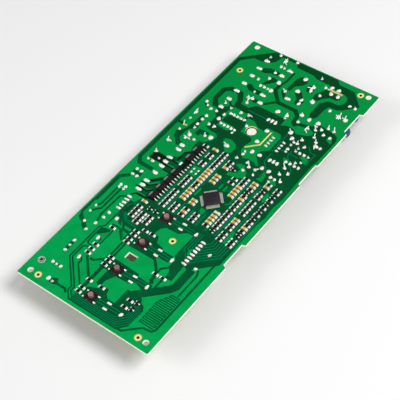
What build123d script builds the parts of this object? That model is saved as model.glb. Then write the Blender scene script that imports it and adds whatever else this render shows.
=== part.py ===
from build123d import *
import math
import os

# Control board of a washing machine: one laminate with its etched copper, the small parts
# soldered flat on one face, and the tall leaded parts that hang below the other.
# Millimetres. Z = 0 is the soldered face of the laminate, +Z points out of it, and the
# origin is the centre of the four fixing holes. Every place on the board is counted in
# layout steps, a third of 0.1 inch, from the board's near left corner.

# ---------------------------------------------------------------- driving dimensions
STEP = 2.54 / 3                  # layout step
BOARD = (115, 269)               # board's outline, steps
LAMINATE = 1.6                   # board thickness
COPPER = 0.07                    # etched copper with its lacquer
SEAT_SHARE = 0.25                # share of a flat part's seat that copper covers, below which it gets a pad
CORNER_R = 0.9
FIXING_HOLE_R = 1.8
FIXING_FIRST = (7.0, 6.2)        # near left fixing hole, steps
FIXING_SPAN = (101.6, 258.4)     # hole to hole, steps
CENTRE = (FIXING_FIRST[0] + FIXING_SPAN[0] / 2, FIXING_FIRST[1] + FIXING_SPAN[1] / 2)
UNDER = -LAMINATE                # face that the tall parts stand on
TALL = 16.0                      # height of the tallest leaded parts, which the board rests on

FIDUCIALS = [(14.1, 6.2), (102.0, 6.3), (10.7, 236.9), (102.5, 263.5), (71.7, 78.9)]
FIDUCIAL_R = 2.25
FIDUCIAL_DEPTH = 0.1
FIDUCIAL_DOT_R = 0.55
FIDUCIAL_SIDES = 12
PILLAR_SPOT = (55.8, 190.6)
PILLAR_HOLE_R = 3.8
PILLAR_NECK_R = 3.1              # neck of the pillar in the hole, a ring's width clear of its wall
PILLAR_SUNK = 1.0                # depth of the pillar's top below the soldered face
WASHER = 0.8                     # thickness of the washer between the pillar and the board
EYELET_SPOT = (7.5, 16.7)
EYELET_R = 2.3
EYELET_BORE_R = 1.2
EYELET_HEIGHT, EYELET_RIM = 0.75, 1.0
ROUND_SIDES = 16                 # flats of the small round parts that no check measures
WINDOW_LOW, WINDOW_HIGH = (53.0, 50.0), (60.9, 55.4)

CHIP_LENGTH, CHIP_WIDTH = 2.3, 1.6          # body between the terminals
RESISTOR_HEIGHT, CAPACITOR_HEIGHT = 0.6, 0.95
TERMINAL = 1.05                             # length of a solder terminal on the board

QFP_SIDE, QFP_HEIGHT, QFP_LEADS, QFP_PITCH = 10.0, 1.45, 16, 0.5
QFP_SPOT, QFP_TURN = (71.5, 122.7), 45

TRIAC_FIRST, TRIAC_PITCH, TRIAC_COUNT = (35.8, 103.4), 8.38, 7
TRIAC_EMPTY = 4                             # this place, counted from 0, carries no part
TRIAC_BODY = (3.5, 6.5, 1.6)
TRIAC_LEAD_PITCH = 2.3

SWITCH_SPOTS = [(56.1, 92.0), (56.1, 65.7), (56.1, 39.3), (56.1, 12.9)]
SWITCH_SIDE, SWITCH_HEIGHT, SWITCH_SPAN = 6.6, 1.0, 9.4    # the span is over the leads
STEM_R, STEM_TOP, STEM_GAP = 1.6, 3.0, 0.1
SWITCH_FLOOR = 0.3                          # thickness left under the stem's bore
STEM_CLEAR = 0.3                            # free space under the stem, for its travel

JOINT_HEIGHT = 1.15
LARGE_JOINT = 2.0                # half length, in steps, from which a joint has six flanks and not four
WIRE = 0.8                                  # side of the leads that bend under the board


# ---------------------------------------------------------------- places and flat shapes
STAND = (Align.CENTER, Align.CENTER, Align.MIN)    # a shape centred on its place and standing on it
HANG = (Align.CENTER, Align.CENTER, Align.MAX)     # or hanging from it


def flat(place):
    """Millimetres in the board's plane for a place in steps."""
    return ((place[0] - CENTRE[0]) * STEP, (place[1] - CENTRE[1]) * STEP)


def spot(place, z=0.0, turn=0.0):
    """Location of a place in steps, at height z, turned about Z by degrees."""
    x, y = flat(place)
    return Location((x, y, z), (0, 0, turn))


def field(corners):
    """Face with straight edges through places in steps."""
    return make_face(Polyline(*[flat(corner) for corner in corners], close=True))


def ribbon(width, corners):
    """Track of constant width, in steps, with mitred bends and square ends."""
    sides = [[], []]
    for i, here in enumerate(corners):
        before, after = corners[max(i - 1, 0)], corners[min(i + 1, len(corners) - 1)]
        ways = [math.atan2(b[1] - a[1], b[0] - a[0]) for a, b in ((before, here), (here, after)) if a != b]
        bend = (ways[-1] - ways[0] + math.pi) % (2 * math.pi) - math.pi
        across = ways[0] + bend / 2 + math.pi / 2
        reach = width / 2 / math.cos(bend / 2)
        shift = (reach * math.cos(across), reach * math.sin(across))
        for side, sign in zip(sides, (1, -1)):
            side.append((here[0] + sign * shift[0], here[1] + sign * shift[1]))
    return field(sides[0] + sides[1][::-1])


def block(place, size, z, turn=0.0):
    """Box centred on a place, standing on height z (or hanging from it if its height is negative)."""
    return spot(place, z, turn) * Box(size[0], size[1], abs(size[2]), align=STAND if size[2] > 0 else HANG)


def save(node, solids):
    """Write one node's solids to its STEP file."""
    shapes = [solid for part in solids for solid in part.solids()]
    export_step(Compound(shapes), f"parts/{node}.step")


# ---------------------------------------------------------------- laminate
OUTLINE = [
    (0, 0), (115, 0), (115, 81), (112.4, 82.4), (112.4, 102.8), (115, 103.6), (115, 166.5), (113.4, 167.6),
    (113.4, 188), (115, 189.2), (115, 225.4), (112.3, 226.6), (112.3, 246.6), (115, 247.6),
    (115, 269), (0, 269),
]
SLOTS = [
    (1.25, [(69.2, 197), (69.2, 182.9), (61.2, 174.9)]),      # creepage slot of the power supply
    (1.5, [(78.6, 256.1), (91.2, 256.1)]),                    # creepage slot under the mains filter
    (1.5, [(9.2, 168.8), (12.6, 168.8)]),
]


def board_laminate():
    outline = field(OUTLINE)
    corners = [v for v in outline.vertices() if abs(v.X) > 48 and abs(v.Y) > 110]
    sheet = fillet(corners, CORNER_R)
    for dx in (0, FIXING_SPAN[0]):
        for dy in (0, FIXING_SPAN[1]):
            sheet -= spot((FIXING_FIRST[0] + dx, FIXING_FIRST[1] + dy)) * Circle(FIXING_HOLE_R)
    sheet -= spot(PILLAR_SPOT) * RegularPolygon(PILLAR_HOLE_R, 24)
    sheet -= spot(EYELET_SPOT) * RegularPolygon(EYELET_BORE_R, ROUND_SIDES)
    (x0, y0), (x1, y1) = WINDOW_LOW, WINDOW_HIGH
    sheet -= field([(x0, y0), (x1, y0), (x1, y1), (x0, y1)])
    for width, line in SLOTS:
        sheet -= ribbon(width, line)
    laminate = extrude(sheet, -LAMINATE)
    for place in FIDUCIALS:
        laminate -= spot(place) * extrude(RegularPolygon(FIDUCIAL_R, FIDUCIAL_SIDES), -FIDUCIAL_DEPTH)
    return laminate


# ---------------------------------------------------------------- copper
# Fields of copper, then the bare windows cut in them, then the single tracks.
POURS = [
    # far rail, from the left edge round the mains filter
    [(1.4, 246), (4.4, 246), (12, 253.6), (20, 253.8), (25, 255.3), (28.3, 258.5), (30.4, 266),
     (44, 265.6), (46, 262.7), (61.5, 262.2), (65.5, 260.3), (77, 260), (79, 258.4), (92, 257.6),
     (96, 255.8), (97.4, 252.3), (96.8, 248.8), (94.3, 245.9), (86, 245.6), (81.6, 240.3), (81.6, 228),
     (83, 224.7), (86.3, 224.7), (88.1, 227.6), (88.3, 237), (89.7, 240.8), (96, 241.2), (99.3, 243),
     (108.4, 252.6), (96.8, 263.9), (83.3, 264.3), (79.8, 268), (22.8, 268), (1.4, 248)],
    [(73.6, 241.5), (79, 241.5), (79.8, 244), (84.5, 248.7), (91, 249.4), (92.2, 251.5), (91.6, 254.6),
     (77.6, 254.6), (73.8, 247)],
    [(52.6, 239.6), (55.6, 239), (56.2, 245), (61, 249.3), (62.2, 252.5), (60.8, 256.3), (57, 257),
     (54.6, 255.6), (53, 252)],
    [(60, 240.6), (64, 242.8), (71, 235), (70.8, 230.6), (67, 229.6), (65.2, 231.2), (65, 234.8),
     (60.6, 238.6)],
    [(64.8, 251.8), (70.4, 252.4), (71, 245.4), (66.2, 245), (64.8, 248)],
    [(36, 243.8), (41.9, 243.8), (41.6, 241), (35.6, 234), (33.6, 234), (34.6, 238), (36.6, 240.4)],
    [(25, 248.7), (30, 251.2), (38.6, 251), (38.6, 247), (32.2, 246.8), (29, 244.5), (25.4, 244.5)],
    [(25.1, 229), (28, 229.3), (31.6, 226.8), (38.6, 226.8), (38.6, 222.7), (28.8, 223.3), (25.3, 226)],
    [(37.6, 218.4), (42, 218.4), (42, 214.8), (37.2, 214.8)],
    # wide field between the relays and the supply
    [(40, 207.9), (44.6, 213.4), (70, 213.4), (70.3, 206.3), (74.6, 208.6), (80, 208.6), (84.6, 205.3),
     (92.8, 208.2), (95.3, 210.8), (95, 213.2), (91, 214.8), (90.6, 219.4), (93.4, 222.2), (108, 220.3),
     (111.5, 218.5), (112.9, 214.5), (112.6, 190.4), (111.6, 186.5), (112.3, 150), (111.2, 140),
     (112, 130), (110.7, 121), (110.5, 80.6), (97, 67), (94, 65.8), (84.5, 69.5), (80.8, 69.5),
     (80.8, 90.2), (76, 90.2), (71, 85.8), (61, 85.5), (58, 82.5), (57, 77.5), (61.6, 76.5), (63.6, 71.8),
     (70, 70.5), (71, 68.9), (80.4, 68.9), (80.4, 62.9), (71.4, 62.9), (71, 59.4), (48, 59.3), (43, 60.6),
     (36, 66.6), (34.3, 70.6), (24, 79.2), (24, 90.6), (27.2, 90.6), (30.8, 98), (30.8, 159),
     (37.6, 167.5), (38.4, 172), (35.6, 174.2), (29, 174.5), (25, 176), (25.2, 188), (21.4, 191.8),
     (21, 195.4), (28, 203.2), (31, 204.2), (32, 207.8)],
    # patch beside the creepage slot
    [(62.6, 174.6), (70.6, 182.8), (73.8, 182), (73.4, 180), (71, 177.9), (71.5, 173), (67, 169),
     (65.5, 171), (62.4, 171.6)],
    # left loop between the heater relay and the load connector
    [(15.2, 182), (17, 184.3), (21, 170.6), (16.2, 167), (15.1, 163.4), (15.3, 157), (18, 154.1),
     (20.6, 153.3), (19.6, 150), (17.5, 149.7), (10.4, 156.5), (9, 161), (12, 163.5), (14.2, 168)],
    [(9.4, 131), (10.6, 129.2), (24.6, 129.6), (24.6, 136), (11.6, 137.2)],
    [(7.6, 111.3), (15.4, 111.3), (15.4, 114.3), (7.6, 114.3)],
    # near left, round the light positions
    [(22.8, 61), (30, 62.6), (30.8, 61), (25, 55.2), (22.8, 54.6)],
    [(24, 79.4), (26.4, 79.4), (33.6, 69.5), (31, 69.8), (24, 76.6)],
    [(23.6, 6), (28, 6), (30.5, 7.2), (28, 11.6), (23.6, 10)],
    # third and fourth switch
    [(43, 35.4), (42.6, 46), (70.4, 44.7), (71.2, 42.9), (84, 42.6), (85, 38), (83.6, 34.6), (74, 38),
     (71, 37.7), (70, 35.3), (58.6, 34.4), (55.4, 28.6), (55, 24.4), (53, 22.4), (51, 24), (51, 35.3)],
    [(45, 9.9), (45, 4.6), (47, 2.7), (85.6, 2.7), (91, 8.8), (91.8, 23), (90, 26.3), (86.5, 28), (84.5, 31),
     (72.2, 31), (72.2, 17.8), (66, 17.8), (63, 20.5), (62, 24), (57.5, 24), (56, 21), (48, 17.6),
     (48, 9.9)],
    [(84.6, 70), (91, 67.2), (92, 52.6), (86.6, 52.2), (86, 57), (83.5, 61), (82, 70)],
]
WINDOWS = [
    # insulation channel round the supply and its switching chip
    [(64.4, 199.2), (75.5, 199.2), (78, 196.6), (78.4, 182.5), (73.2, 177.4), (72.4, 173.6), (79.6, 166),
     (79, 164.4), (76, 166.4), (70, 167), (66, 165.5), (60.6, 171), (60.3, 176), (61.8, 182), (60, 184.6),
     (49.6, 185.5), (49, 191), (45.8, 199.4), (52.4, 199.4), (57.2, 196), (64.4, 195)],
    [(30.4, 203.3), (28.2, 193), (31, 186.8), (30.6, 181.4), (40, 180.7), (44, 183.2), (43.5, 186.4),
     (31.4, 187), (31.2, 194.6), (44.6, 195), (44, 202.6)],
    [(44, 174.2), (49, 175.6), (54.6, 173.4), (56.6, 169.5), (56.3, 164.6), (52, 163.2), (45, 169.8)],
    [(28.8, 173.2), (36, 173), (38.3, 170.8), (37.6, 167), (34.6, 164), (28.4, 168.6)],
    [(100.4, 190.6), (105, 190.3), (107, 189), (107, 184.4), (104.2, 185), (103, 187), (100, 188)],
    [(90, 182), (94, 182.5), (96.4, 179.4), (93, 178)],
    [(106, 214.2), (109, 215.6), (111, 212.6), (111.2, 210), (106, 212.4)],
    [(88, 164), (90.2, 160), (91, 154.6), (85.5, 154.6), (87.6, 158.2), (87, 163)],
    [(93.5, 160.4), (99, 160), (101, 157.6), (99.4, 155.7), (94, 155.5)],
    [(65.4, 158), (69, 161), (72, 160.6), (77.6, 155), (78.4, 151), (75.4, 148.6), (66, 146.4),
     (65.6, 149.6), (71, 152), (71.4, 156)],
    [(100.2, 149), (103, 147.8), (103.4, 140.6), (101.8, 139.6), (100.2, 143)],
    [(100.2, 109), (102.6, 108.6), (103.4, 104.4), (102.4, 96.4), (100.4, 96.4)],
    [(91.6, 134.6), (93.6, 131), (92.4, 126), (93.6, 122.4), (91.8, 122.6)],
    [(68.9, 138), (70.4, 138.2), (70.4, 132.9), (68.6, 133.6)],
    [(72.4, 138.4), (74.2, 138.2), (74.4, 133.4), (72.5, 132.7)],
    [(70, 113), (74.3, 112.8), (74, 108), (72.4, 108), (70.2, 110.6)],
    [(41.8, 141.2), (48.4, 141.8), (48.6, 132.4), (41.8, 132.6)],
    [(58.2, 127.6), (60, 126), (59.6, 119), (58, 119)],
    [(85.7, 79.6), (87.4, 81.5), (88.4, 75.6), (86.4, 75.6)],
    [(35.6, 71), (42, 71), (42, 69), (35.2, 68.8)],
    [(36.7, 66.8), (41.6, 66.6), (41.6, 62.2)],
]
TRACKS = [
    (3.2, [(2.9, 247), (2.9, 126.5), (6.2, 121.8), (19, 121.4)]),
    (2.6, [(4, 169.4), (9.4, 169.4)]),
    (2.9, [(8.6, 108.8), (2.9, 103.5), (2.9, 77.5)]),
    (1.8, [(2.2, 78), (2.2, 64), (4.6, 60)]),
    (3.2, [(3.6, 61.2), (6, 59), (9, 58.6), (10.6, 56), (14, 53.7)]),
    (1.5, [(8.8, 95), (8.8, 76.4), (7, 74)]),
    (1.5, [(11.7, 95), (11.7, 74), (6.8, 68)]),
    (1.5, [(20, 92.6), (15.4, 89.4), (15, 70), (16.6, 63.6)]),
    (2.8, [(15, 41), (15, 33)]),
    (1.7, [(15.4, 20), (22, 20)]),
    (1.7, [(28, 7.9), (37, 7.9), (39.4, 5.8)]),
    (4.2, [(20.6, 217.3), (17, 217.3), (13.3, 213.4), (13.1, 203), (17, 197.6), (20.4, 197.4)]),
    (4.4, [(23.4, 217.6), (26.4, 216.8), (30, 211), (31.2, 206.4), (41, 205.8)]),
    (1.6, [(25, 205.6), (28, 202.4)]),
    (2.2, [(9.6, 195.6), (13.8, 192.4)]),
    (1.8, [(47.8, 256.6), (48, 246), (46.4, 240)]),
    (3.0, [(46, 240.4), (46, 234), (54.2, 225.4)]),
    (2.4, [(51, 236.3), (56.5, 230.9), (59, 230.9)]),
    (3.2, [(53, 224.4), (71.2, 224.4), (75.4, 220.4), (76.4, 214), (80, 211.6)]),
    (3.0, [(76.4, 213.6), (90.8, 216.6)]),
    (2.2, [(47.2, 217.2), (54, 224)]),
    (4.0, [(24.2, 101.8), (31.4, 101.9)]),
    (3.6, [(24.2, 106.6), (27.4, 107.2), (31.4, 111.2)]),
    (3.6, [(24, 111.4), (31.4, 119.4)]),
    (4.0, [(24.4, 127.6), (31.4, 128)]),
    (3.4, [(24.2, 133), (31.4, 133.6)]),
    (4.0, [(24.2, 137.4), (27.6, 138.8), (29.6, 142), (29.8, 145), (31.4, 147.4)]),
    (3.0, [(31, 153), (31, 162)]),
    (4.0, [(24, 165.6), (24.4, 169.6), (31.6, 169.8)]),
    (1.5, [(20.7, 95), (23.2, 97.6), (31, 97.8)]),
    (1.5, [(43.9, 60), (43.9, 45.4)]),
    (1.5, [(46.3, 60), (46.3, 45.4)]),
    (2.7, [(46, 36), (46, 10.4)]),
    (1.8, [(34, 36.4), (37, 36.4), (42.6, 41.2)]),
    (1.7, [(31, 37), (43.4, 24.4), (43.4, 22.6)]),
    (2.0, [(71, 60.6), (77.4, 54.4), (79, 51.4)]),
    (1.6, [(80, 51.5), (79.6, 56.2), (83.4, 60), (84, 64)]),
    (2.6, [(79.8, 50), (80.3, 46), (82.4, 43.2)]),
    (1.5, [(86.2, 50), (86.2, 38)]),
    (6.2, [(76, 28), (95, 46.4), (97.4, 50.4), (97.4, 67)]),
    (1.3, [(99.4, 69.6), (102, 68.4), (103.4, 65), (103.4, 45.2)]),
    (1.5, [(107.9, 79), (107.9, 17), (106.2, 14.4), (99.8, 13.6), (89.4, 3.9), (85, 3.9)]),
    # single tracks round the light positions at the near left
    (1.1, [(24.4, 77), (24.4, 63.6), (21.2, 60.4), (21.2, 30), (39.3, 12), (39.3, 8.4), (44.4, 3.3),
           (48, 3.3)]),
    (1.1, [(27.6, 42.8), (24.6, 42.8), (23.2, 41.4), (23.2, 30.7), (41.3, 12.6), (41.3, 9.2), (45.2, 5.4)]),
    (1.1, [(27.6, 45), (24.8, 45), (23.2, 46.6), (23.2, 58)]),
    (1.1, [(28, 34), (30.4, 32), (30.4, 28.6), (43.6, 15.4)]),
    (1.1, [(31.8, 64), (31.8, 47.4)]),
    (0.9, [(28, 54), (29.8, 52.4), (29.8, 48.4)]),
    (1.3, [(27.6, 67.2), (34.4, 67.2), (42, 59.8)]),
    (1.2, [(33.6, 71.4), (36.8, 68.2), (44, 68.2)]),
]
MEANDER = dict(width=0.8, low=16.4, high=44.0, passes=18, left=94.6, right=106.2)


def meander():
    """Serpentine test track, whose passes shorten towards its far end."""
    low, high, passes = MEANDER["low"], MEANDER["high"], MEANDER["passes"]
    line = []
    for i in range(passes):
        y = low + (high - low) * i / (passes - 1)
        left = MEANDER["left"] + max(0.0, y - 35) * 0.55
        ends = [(left, y), (MEANDER["right"], y)]
        line += ends if i % 2 else ends[::-1]
    return ribbon(MEANDER["width"], line)


# ---------------------------------------------------------------- surface parts
RESISTORS = (
    [(45.5, y) for y in (155, 152.2, 146.6, 143.8, 129.9, 126.9, 123.8, 120.8, 114.9, 111.8, 108.8, 105.7,
                         102.6, 99.5)]
    + [(53.8, y) for y in (161.4, 158.2, 155.1, 152, 149, 145.9, 128.1, 125, 105.7, 102.6, 99.5)]
    + [(62.1, y) for y in (157.2, 153.8, 106, 99.8)]
    + [(71.1, y) for y in (106, 102.8, 99.7)]
    + [(73.7, 146), (73.7, 141.8), (37.2, 160.1), (82, 102)]
    + [(80.8, y) for y in (150.7, 147.6, 144.6)]
    + [(88.6, y) for y in (144, 136.8, 130.4, 127.2, 123.9, 120.1, 117, 113.8, 110.7, 107.6, 104.5)]
    + [(97, y) for y in (155.1, 143.8, 140.9, 136.2, 133, 129.9, 126.8, 123.7, 111.4, 108.3, 103.7, 100.5,
                         97.3)]
    + [(105.8, y) for y in (154.4, 151.3, 143.5, 135.8, 128.4, 120.6, 117.4, 111.2, 99.8, 96.7)]
    + [(33.4, y) for y in (89.7, 86.6, 83.4, 80.3)]
    + [(39.8, y) for y in (86.3, 83.3, 80.3, 77.2)]
    + [(45.9, y) for y in (86.3, 83.3, 80.3, 71.4, 68, 63.9, 60.5, 44.8, 41.4, 37.6, 22.3, 15, 11.4)]
    + [(29.8, y) for y in (64.6, 47.3, 42.9, 39.1)]
    + [(50.6, 75.2), (56.8, 75.2), (57, 22.3), (79.6, 50.8), (86, 50.8), (79.5, 24.9), (79.5, 19)]
)
CAPACITORS = (
    [(53.8, y) for y in (142.9, 140, 137, 134, 131, 121.8, 118.6, 115.5, 112.3)]
    + [(62.1, y) for y in (150.7, 141.9, 138.6, 135.3, 115, 111.9, 102.9)]
    + [(80.8, y) for y in (141.6, 138.4, 135.2, 132)]
    + [(82, y) for y in (111.4, 108.3, 105.1)]
    + [(88.6, 150.4), (88.6, 147.2), (88.6, 133.6)]
    + [(97, 152), (97, 117.4), (97, 114.5), (105.8, 114.3), (33.4, 95), (45.5, 160.7)]
)
RESONATOR = (82, 114.8)
# small transistors, by which side carries the pair of leads
TRANSISTORS = (
    [(place, 1) for place in [(97, 147.9), (105.8, 147.7), (105.8, 139.7), (105.8, 132.1), (105.8, 124.6),
                              (41, 92.2), (46.3, 92.2), (84.9, 26.2), (84.9, 20.3), (67.8, 152.8)]]
    + [(place, -1) for place in [(88.3, 140.3), (88.5, 100.8), (105.8, 107.6)]]
)
TRANSISTOR_BODY = (1.3, 2.9, 1.0)
BARE_PADS = (
    [(x, y + dy) for x in (69.7,) for y in (92.4, 65.7, 39.3, 13.2) for dy in (-2.5, 2.5)]
)
BARE_PAD = (3.5, 1.5, 0.12)
SMALL_PADS = [(x, y) for x in (43.5, 47.5) for y in (138.3, 135.2)] + [(103.8, 102.9), (107.6, 102.9)]
SMALL_PAD = (1.2, 1.6, 0.12)


def chips(places, height):
    """Bodies of flat two-ended chips."""
    return [block(place, (CHIP_LENGTH, CHIP_WIDTH, height), COPPER) for place in places]


def chip_terminals(places, height):
    """Soldered ends of the chips: each slopes from the chip's top edge down to the board."""
    inner = CHIP_LENGTH / 2
    profile = Plane.XZ * make_face(Polyline((inner, 0), (inner + TERMINAL, 0), (inner, height), close=True))
    right = extrude(profile, (CHIP_WIDTH + 0.15) / 2, both=True)
    left = mirror(right, Plane.YZ)
    return [spot(place, COPPER) * end for place in places for end in (right, left)]


def transistor_leads():
    """Three leads of each small transistor, which slope from its body down to the board."""
    edge, reach, offset = TRANSISTOR_BODY[0] / 2, 0.75, 0.95
    profile = Plane.XZ * make_face(Polyline((edge, 0), (edge + reach, 0), (edge, 0.4), close=True))
    lead = extrude(profile, 0.25, both=True)
    leads = []
    for place, side in TRANSISTORS:
        for way, dy in ((-side, offset), (-side, -offset), (side, 0)):
            leads.append(spot(place, COPPER, 0 if way > 0 else 180) * Pos(0, way * dy, 0) * lead)
    return leads


def triac_places(filled=True):
    """Places of the row of driver triacs, or of the place left empty."""
    first, pitch = TRIAC_FIRST, TRIAC_PITCH
    return [(first[0], first[1] + pitch * i) for i in range(TRIAC_COUNT) if (i != TRIAC_EMPTY) == filled]


def triac_bodies():
    width, length, height = TRIAC_BODY
    body = extrude(Rectangle(width, length), height, taper=6)
    return [spot(place, COPPER) * body for place in triac_places()]


def triac_leads():
    """Wide tab on the left and three leads on the right of each triac, sloping down to the board."""
    edge = TRIAC_BODY[0] / 2
    profile = Plane.XZ * make_face(Polyline(
        (edge, 0), (edge + 1.9, 0), (edge + 1.9, 0.2), (edge, 0.75), close=True))
    lead = extrude(profile, 0.35, both=True)
    tab = mirror(extrude(profile, 1.5, both=True), Plane.YZ)
    pieces = []
    for place in triac_places():
        seat = spot(place, COPPER)
        pieces.append(seat * tab)
        pieces += [seat * Pos(0, dy, 0) * lead for dy in (-TRIAC_LEAD_PITCH, 0, TRIAC_LEAD_PITCH)]
    return pieces


def triac_pads():
    """Tinned pads where the empty triac would stand."""
    pads = []
    for place in triac_places(filled=False):
        pads.append(spot(place, COPPER) * Pos(-2.9, 0, 0) * Box(1.8, 3.2, 0.12, align=STAND))
        for dy in (-TRIAC_LEAD_PITCH, 0, TRIAC_LEAD_PITCH):
            pads.append(spot(place, COPPER) * Pos(2.9, dy, 0) * Box(1.8, 0.9, 0.12, align=STAND))
    return pads


def microcontroller_body():
    body = Box(QFP_SIDE, QFP_SIDE, QFP_HEIGHT - 0.1, align=STAND)
    body = chamfer(body.edges().filter_by(Axis.Z), 0.5)
    body = chamfer(body.edges().group_by(Axis.Z)[-1], 0.2)
    return spot(QFP_SPOT, COPPER + 0.1, QFP_TURN) * body


def microcontroller_leads():
    edge = QFP_SIDE / 2
    profile = Plane.XZ * make_face(Polyline(
        (edge, 0.55), (edge, 0.78), (edge + 1.05, 0), close=True))
    lead = extrude(profile, 0.12, both=True)
    first = -(QFP_LEADS - 1) / 2 * QFP_PITCH
    seat = spot(QFP_SPOT, COPPER, QFP_TURN)
    return [seat * Rot(0, 0, 90 * side) * Pos(0, first + i * QFP_PITCH, 0) * lead
            for side in range(4) for i in range(QFP_LEADS)]


def switch_case():
    """Housing of a push switch, open at the top for its stem."""
    case = Box(SWITCH_SIDE, SWITCH_SIDE, SWITCH_HEIGHT, align=STAND)
    case = chamfer(case.edges().filter_by(Axis.Z), 0.6)
    bore = extrude(RegularPolygon(STEM_R + STEM_GAP, ROUND_SIDES), SWITCH_HEIGHT)
    return case - Pos(0, 0, SWITCH_FLOOR) * bore


def switch_stem():
    """Round plunger, at the height where its spring holds it."""
    low = SWITCH_FLOOR + STEM_CLEAR
    return Pos(0, 0, low) * extrude(RegularPolygon(STEM_R, ROUND_SIDES), STEM_TOP - low)


def switch_leads():
    reach = (SWITCH_SPAN - SWITCH_SIDE) / 2
    lead = Box(reach, 0.8, 0.3, align=(Align.MIN, Align.CENTER, Align.MIN))
    right = Pos(SWITCH_SIDE / 2, 0, 0) * lead
    pair = [right, mirror(right, Plane.YZ)]
    return [spot(place, COPPER) * Pos(0, dy, 0) * side
            for place in SWITCH_SPOTS for side in pair for dy in (-2.25, 2.25)]


def eyelet():
    """Soldered earth eyelet: a low cone of solder round the bore that its screw goes through."""
    slope = math.degrees(math.atan(EYELET_RIM / EYELET_HEIGHT))
    ring = extrude(RegularPolygon(EYELET_R, ROUND_SIDES), EYELET_HEIGHT, taper=slope)
    return spot(EYELET_SPOT) * (ring - extrude(RegularPolygon(EYELET_BORE_R, ROUND_SIDES), EYELET_HEIGHT))


# ---------------------------------------------------------------- solder joints
# Places of the soldered leads by size of joint: half length along X, half width along Y, in steps.
JOINTS = {
    (2.6, 1.6): [(22.5, 256), (22, 246.5), (22.3, 237), (22, 227.3), (22, 217.8), (22.2, 207.9),
                 (22.2, 198), (43.9, 256.3), (41.4, 248.9), (41.3, 224.3), (44.3, 216.8), (59, 231.2),
                 (22, 151.5), (22.3, 146.8), (22, 137.2), (22, 132.4), (22.2, 127.6), (22.2, 120.3),
                 (22, 111), (22, 106.5), (22.2, 101.8)],
    (2.1, 1.7): [(43.9, 241.6), (43.6, 231.7), (58.8, 255.4), (61, 241.8), (60.6, 216.8), (34.9, 168.8),
                 (49.6, 168.8), (76.4, 238.6), (101, 236), (107, 236), (92.4, 222.8), (103.6, 203),
                 (80.8, 204.5)],
    (1.7, 1.7): [(77.6, 223.2), (84.8, 222.2), (84.9, 200.2), (65.4, 196.4), (65.5, 184.2), (28.3, 187.2),
                 (68.4, 174.3), (75, 174.3), (83.6, 165.2), (89.4, 165.3), (80.6, 258.5), (86.5, 258.7),
                 (83.4, 252.8), (89.5, 252.8), (19.9, 162.8), (22, 8.1)],
    (1.3, 1.8): [(59.6, 206.3), (62.8, 206.5), (66, 206.3), (83.8, 174.4), (86.9, 174.6), (90.1, 174.4),
                 (27.1, 72.5), (27.1, 52.6), (27.1, 33.1), (81.7, 92.2), (81.7, 65.9), (81.7, 39.6),
                 (81.7, 13.2), (35, 263.6), (9.9, 183.5), (69, 251.3), (69, 247.3), (68.6, 235.6),
                 (69, 231.6), (68.6, 217)],
    (1.3, 1.3): [(28, 266.8), (43.4, 267), (28.4, 236.6), (35.3, 256.8), (35.3, 249), (35.2, 241.6),
                 (33.8, 231.9), (37.3, 232), (33.3, 217), (37.2, 217.2), (36, 211.6), (53.1, 236.7),
                 (38.6, 201), (45.3, 201.8), (10, 196.5), (17, 192.3), (22.1, 192.6), (29.2, 192.6),
                 (25.7, 178.8), (30.4, 178.9), (18.8, 184.6), (18.4, 180), (18.4, 174.4), (30.2, 168),
                 (19.3, 158.8), (25.8, 160.6), (10.6, 150), (50, 192.4), (76.4, 256.3), (77.5, 246.8),
                 (92.3, 238), (102, 249.5), (106.7, 249.5), (101.4, 222.3), (106.5, 222), (98, 218.8),
                 (94.4, 216.2), (79.2, 216), (102, 215.2), (107.5, 215.1), (88.7, 214.6), (97.7, 209.8),
                 (101.4, 206.4), (107.4, 203), (91.9, 202.8), (91, 198.1), (97.2, 198), (88.2, 190.2),
                 (97.8, 191.4), (101.6, 191.4), (94.2, 179.3), (97.8, 179.4), (101.6, 179.2),
                 (105, 179.3), (97, 174), (102, 170.8), (97.2, 167.4), (64.2, 168.8), (80.4, 161.2),
                 (72, 163.8), (75.2, 161), (93.7, 161.5), (97.2, 161.4), (101.7, 162), (73.2, 156.4),
                 (62.6, 163.4), (9.2, 115.7), (13.2, 115.7), (9.4, 110.4), (13.4, 110.4), (9, 98),
                 (13.2, 98.2), (9.2, 58.6), (15, 53.6), (17, 61.4), (18.4, 68.4), (18.9, 73.7),
                 (15, 41.7), (15, 32.2), (15, 20), (22.2, 19.8), (99.2, 69.2), (100, 83.4), (9.8, 136.6),
                 (13.6, 127.8)],
    (1.0, 1.0): [(22.4, 261), (38.4, 256.8), (34, 224.2), (40.4, 232), (29.6, 200.8), (22.7, 203),
                 (13, 193.7), (45.1, 181), (9.9, 176.5), (18.8, 170.4), (10.2, 163.4), (68.9, 262.5),
                 (69, 213.9), (88.2, 197.9), (87.9, 194.6), (88.4, 187.4), (94.4, 194.6), (94.4, 191.4),
                 (105.2, 191.3), (103.6, 184.3), (100.5, 182.1), (64, 171.6), (82, 156.6), (94.9, 157.4),
                 (6.7, 73.6), (6.6, 67.6), (15, 37), (18.4, 19.8), (25.8, 7.6), (9.2, 95.6), (13.2, 95.6),
                 (16, 132.2), (9.6, 127.8), (93, 219.4)],
    (1.3, 1.15): [(32.8, 196.3), (35.9, 196.2), (39, 196.2), (42.1, 196.1), (45.2, 196.2), (32.4, 184.5),
                  (35.7, 184.2), (38.8, 184.3), (42, 184.1), (45.1, 184)],
    (1.35, 1.0): [(73.2, 184.1), (73.2, 187.2), (73.2, 190.3), (73.2, 193.4), (82.6, 184.1),
                  (82.6, 187.2), (82.6, 190.3), (82.6, 193.4)],
    (2.1, 1.15): [(21.5, 80.6), (21.5, 83.63), (21.5, 86.66), (21.5, 89.69), (21.5, 92.72), (90, 68.3),
                  (90, 71.3), (90, 74.3), (90, 77.3), (90, 80.3), (90, 83.3), (90, 86.3), (90, 89.3)],
}


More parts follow.
